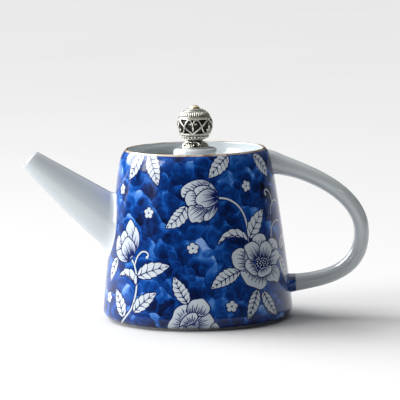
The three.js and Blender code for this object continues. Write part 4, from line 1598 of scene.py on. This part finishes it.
def ball():
    """Scrolls, drops and a zigzag repeated in three thirds, between the caps and their hoops."""
    scroll = [(-30, -3, 1.1), (-25, 9, 1.1), (-18, 18, 1.1), (-9, 19, 1.1), (-4, 12, 1.1), (-7, 5, 1.1)]
    scroll = mirrored([scroll + [(-13, 7, 1.3)]])
    drop = [[(0, 9, 0.6), (0, 3, 1.3), (0, -6, 1.9), (0, -13, 1.4), (0, -20, 0.6)]]
    zigzag = mirrored([[(-60, 22, 1.3), (-45, 9.5, 1.3), (-30, -3, 1.3), (-15, -16, 1.3), (0, -29, 1.3)]])
    upside = [[(x + 60, -7 - y, t) for x, y, t in line] for line in scroll + drop]
    shifted = [[(x - 7, y, t) for x, y, t in line] for line in scroll + drop + upside + zigzag]
    tree = Geometry("ball", pairs=3, ribs=42, beads=24, wire=0.38 * MM)
    given = tree.given
    openwork = cast_wire(tree, given["Geometry"], given["wire"])
    caps = tree.node("GeometryNodeObjectInfo", {}, {"Object": cap_holder})["Geometry"]
    hoops = []
    for up, thick in CAP_HOOPS + BOWL_HOOPS:
        _, depth, height = on_ball(0, up)
        hoops.append(hoop(tree, -depth, height, WIRE * thick))
    ribs = beads(tree, given["ribs"], 40, 0.47 * MM, 3.6)
    row = beads(tree, given["beads"], -43, 0.85 * MM)
    whole = together(tree, round_about(tree, openwork, given["pairs"]), caps, ribs, row, *hoops)
    tree.result(whole, antique_silver("ball_silver", (0, 0, ball_centre), BALL_RADIUS, 0.75 * MM))
    return tree.made("knob_ball", wires("hearts", bent_lines(shifted, on_ball)))


def ball_lining():
    """A near-black bowl inside the ball, behind the openwork: painted shade that stands for the shadow seen
    through the piercings.
    """
    steps = [BAND_FOOT - 6 + (BAND_TOP + 12 - BAND_FOOT) * i / 20 for i in range(21)]
    skin, back = [], []
    for angle in steps:
        for points, radius in ((skin, BALL_RADIUS - 1.5 * MM), (back, BALL_RADIUS - 2.0 * MM)):
            points.append((radius * cos(radians(angle)), ball_centre + radius * sin(radians(angle))))
    mesh = turned_ring("ball_lining", skin + back[::-1], 96)
    # The centre and depth given make this bowl black all over: painted shade.
    mesh.materials.append(antique_silver("ball_black", (0, 0, ball_centre), 30 * MM, 5 * MM))
    return mesh


cap_holder = add_object("cap_holder", ball_caps())
ball_mesh = ball()
bpy.data.objects.remove(cap_holder)
placed("knob_ball", ball_mesh, "knob", "silver", "knob_ball")
# The black bowl in the ball stands for shadow: painted shade.
placed("ball_lining", ball_lining(), "knob", "silver")

# ---- Knob finial -------------------------------------------------------------------------------------------
# A round cap nut closes the top of the ball. Its threaded barrel reaches down inside to take the screw.

low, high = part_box("knob_finial")
THREAD_RADIUS = 1.55 * MM
BARREL_RADIUS = THREAD_RADIUS + 0.9 * MM


def finial():
    """The dome, its flat underside and the threaded barrel in one turned profile."""
    top, foot, radius = high.z - 0.4 * MM, BALL_TOP - 0.6 * MM, high.x
    rise = top - foot
    dome = ((0.05 * MM, top), (radius * 0.6, top), (radius * 0.85, foot + rise * 0.5), (radius, foot))
    profile = [dome[0]] + bezier(*dome, 14)
    profile += [
        (BARREL_RADIUS, foot),
        (BARREL_RADIUS, low.z + 0.3 * MM),
        (BARREL_RADIUS - 0.3 * MM, low.z),
        (THREAD_RADIUS, low.z),
        (THREAD_RADIUS, foot - 0.5 * MM),
        (0.05 * MM, foot - 0.5 * MM),
    ]
    mesh = turned_ring("knob_finial", profile, 48)
    centre = (0, 0, high.z - 3 * MM)
    warm = (0.66, 0.56, 0.36, 1)
    mesh.materials.append(antique_silver("finial_silver", centre, 2.9 * MM, 1.1 * MM, warm))
    return mesh


placed("knob_finial", finial(), "knob", "silver", "knob_finial")

# ---- Screw, washer and seal --------------------------------------------------------------------------------
# A slotted steel screw comes up through the lid into the finial and clamps the knob, with a steel washer and
# a silicone seal under the mound.


def plain_steel():
    """Turned steel, bright and a little uneven."""
    material, bench = shader("plain_steel")
    place = bench.place()
    lathe = bench.cloud(place, 1500, 3)
    colour = bench.mixed(lathe, (0.52, 0.53, 0.54, 1), (0.66, 0.67, 0.68, 1))
    surfaced(bench, Base_Color=colour, Metallic=1.0, Roughness=0.22 + lathe * 0.15)
    return material


def clear_silicone():
    """Pale silicone rubber with a dull skin."""
    material, bench = shader("clear_silicone")
    place = bench.place()
    haze = bench.cloud(place, 300, 3)
    colour = bench.mixed(haze, (0.60, 0.61, 0.59, 1), (0.72, 0.73, 0.71, 1))
    surfaced(bench, Base_Color=colour, Roughness=0.5 + haze * 0.2)
    return material


steel = plain_steel()
for name, material in (("knob_screw", steel), ("knob_washer", steel), ("knob_seal", clear_silicone())):
    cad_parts[name].data.materials.clear()
    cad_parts[name].data.materials.append(material)
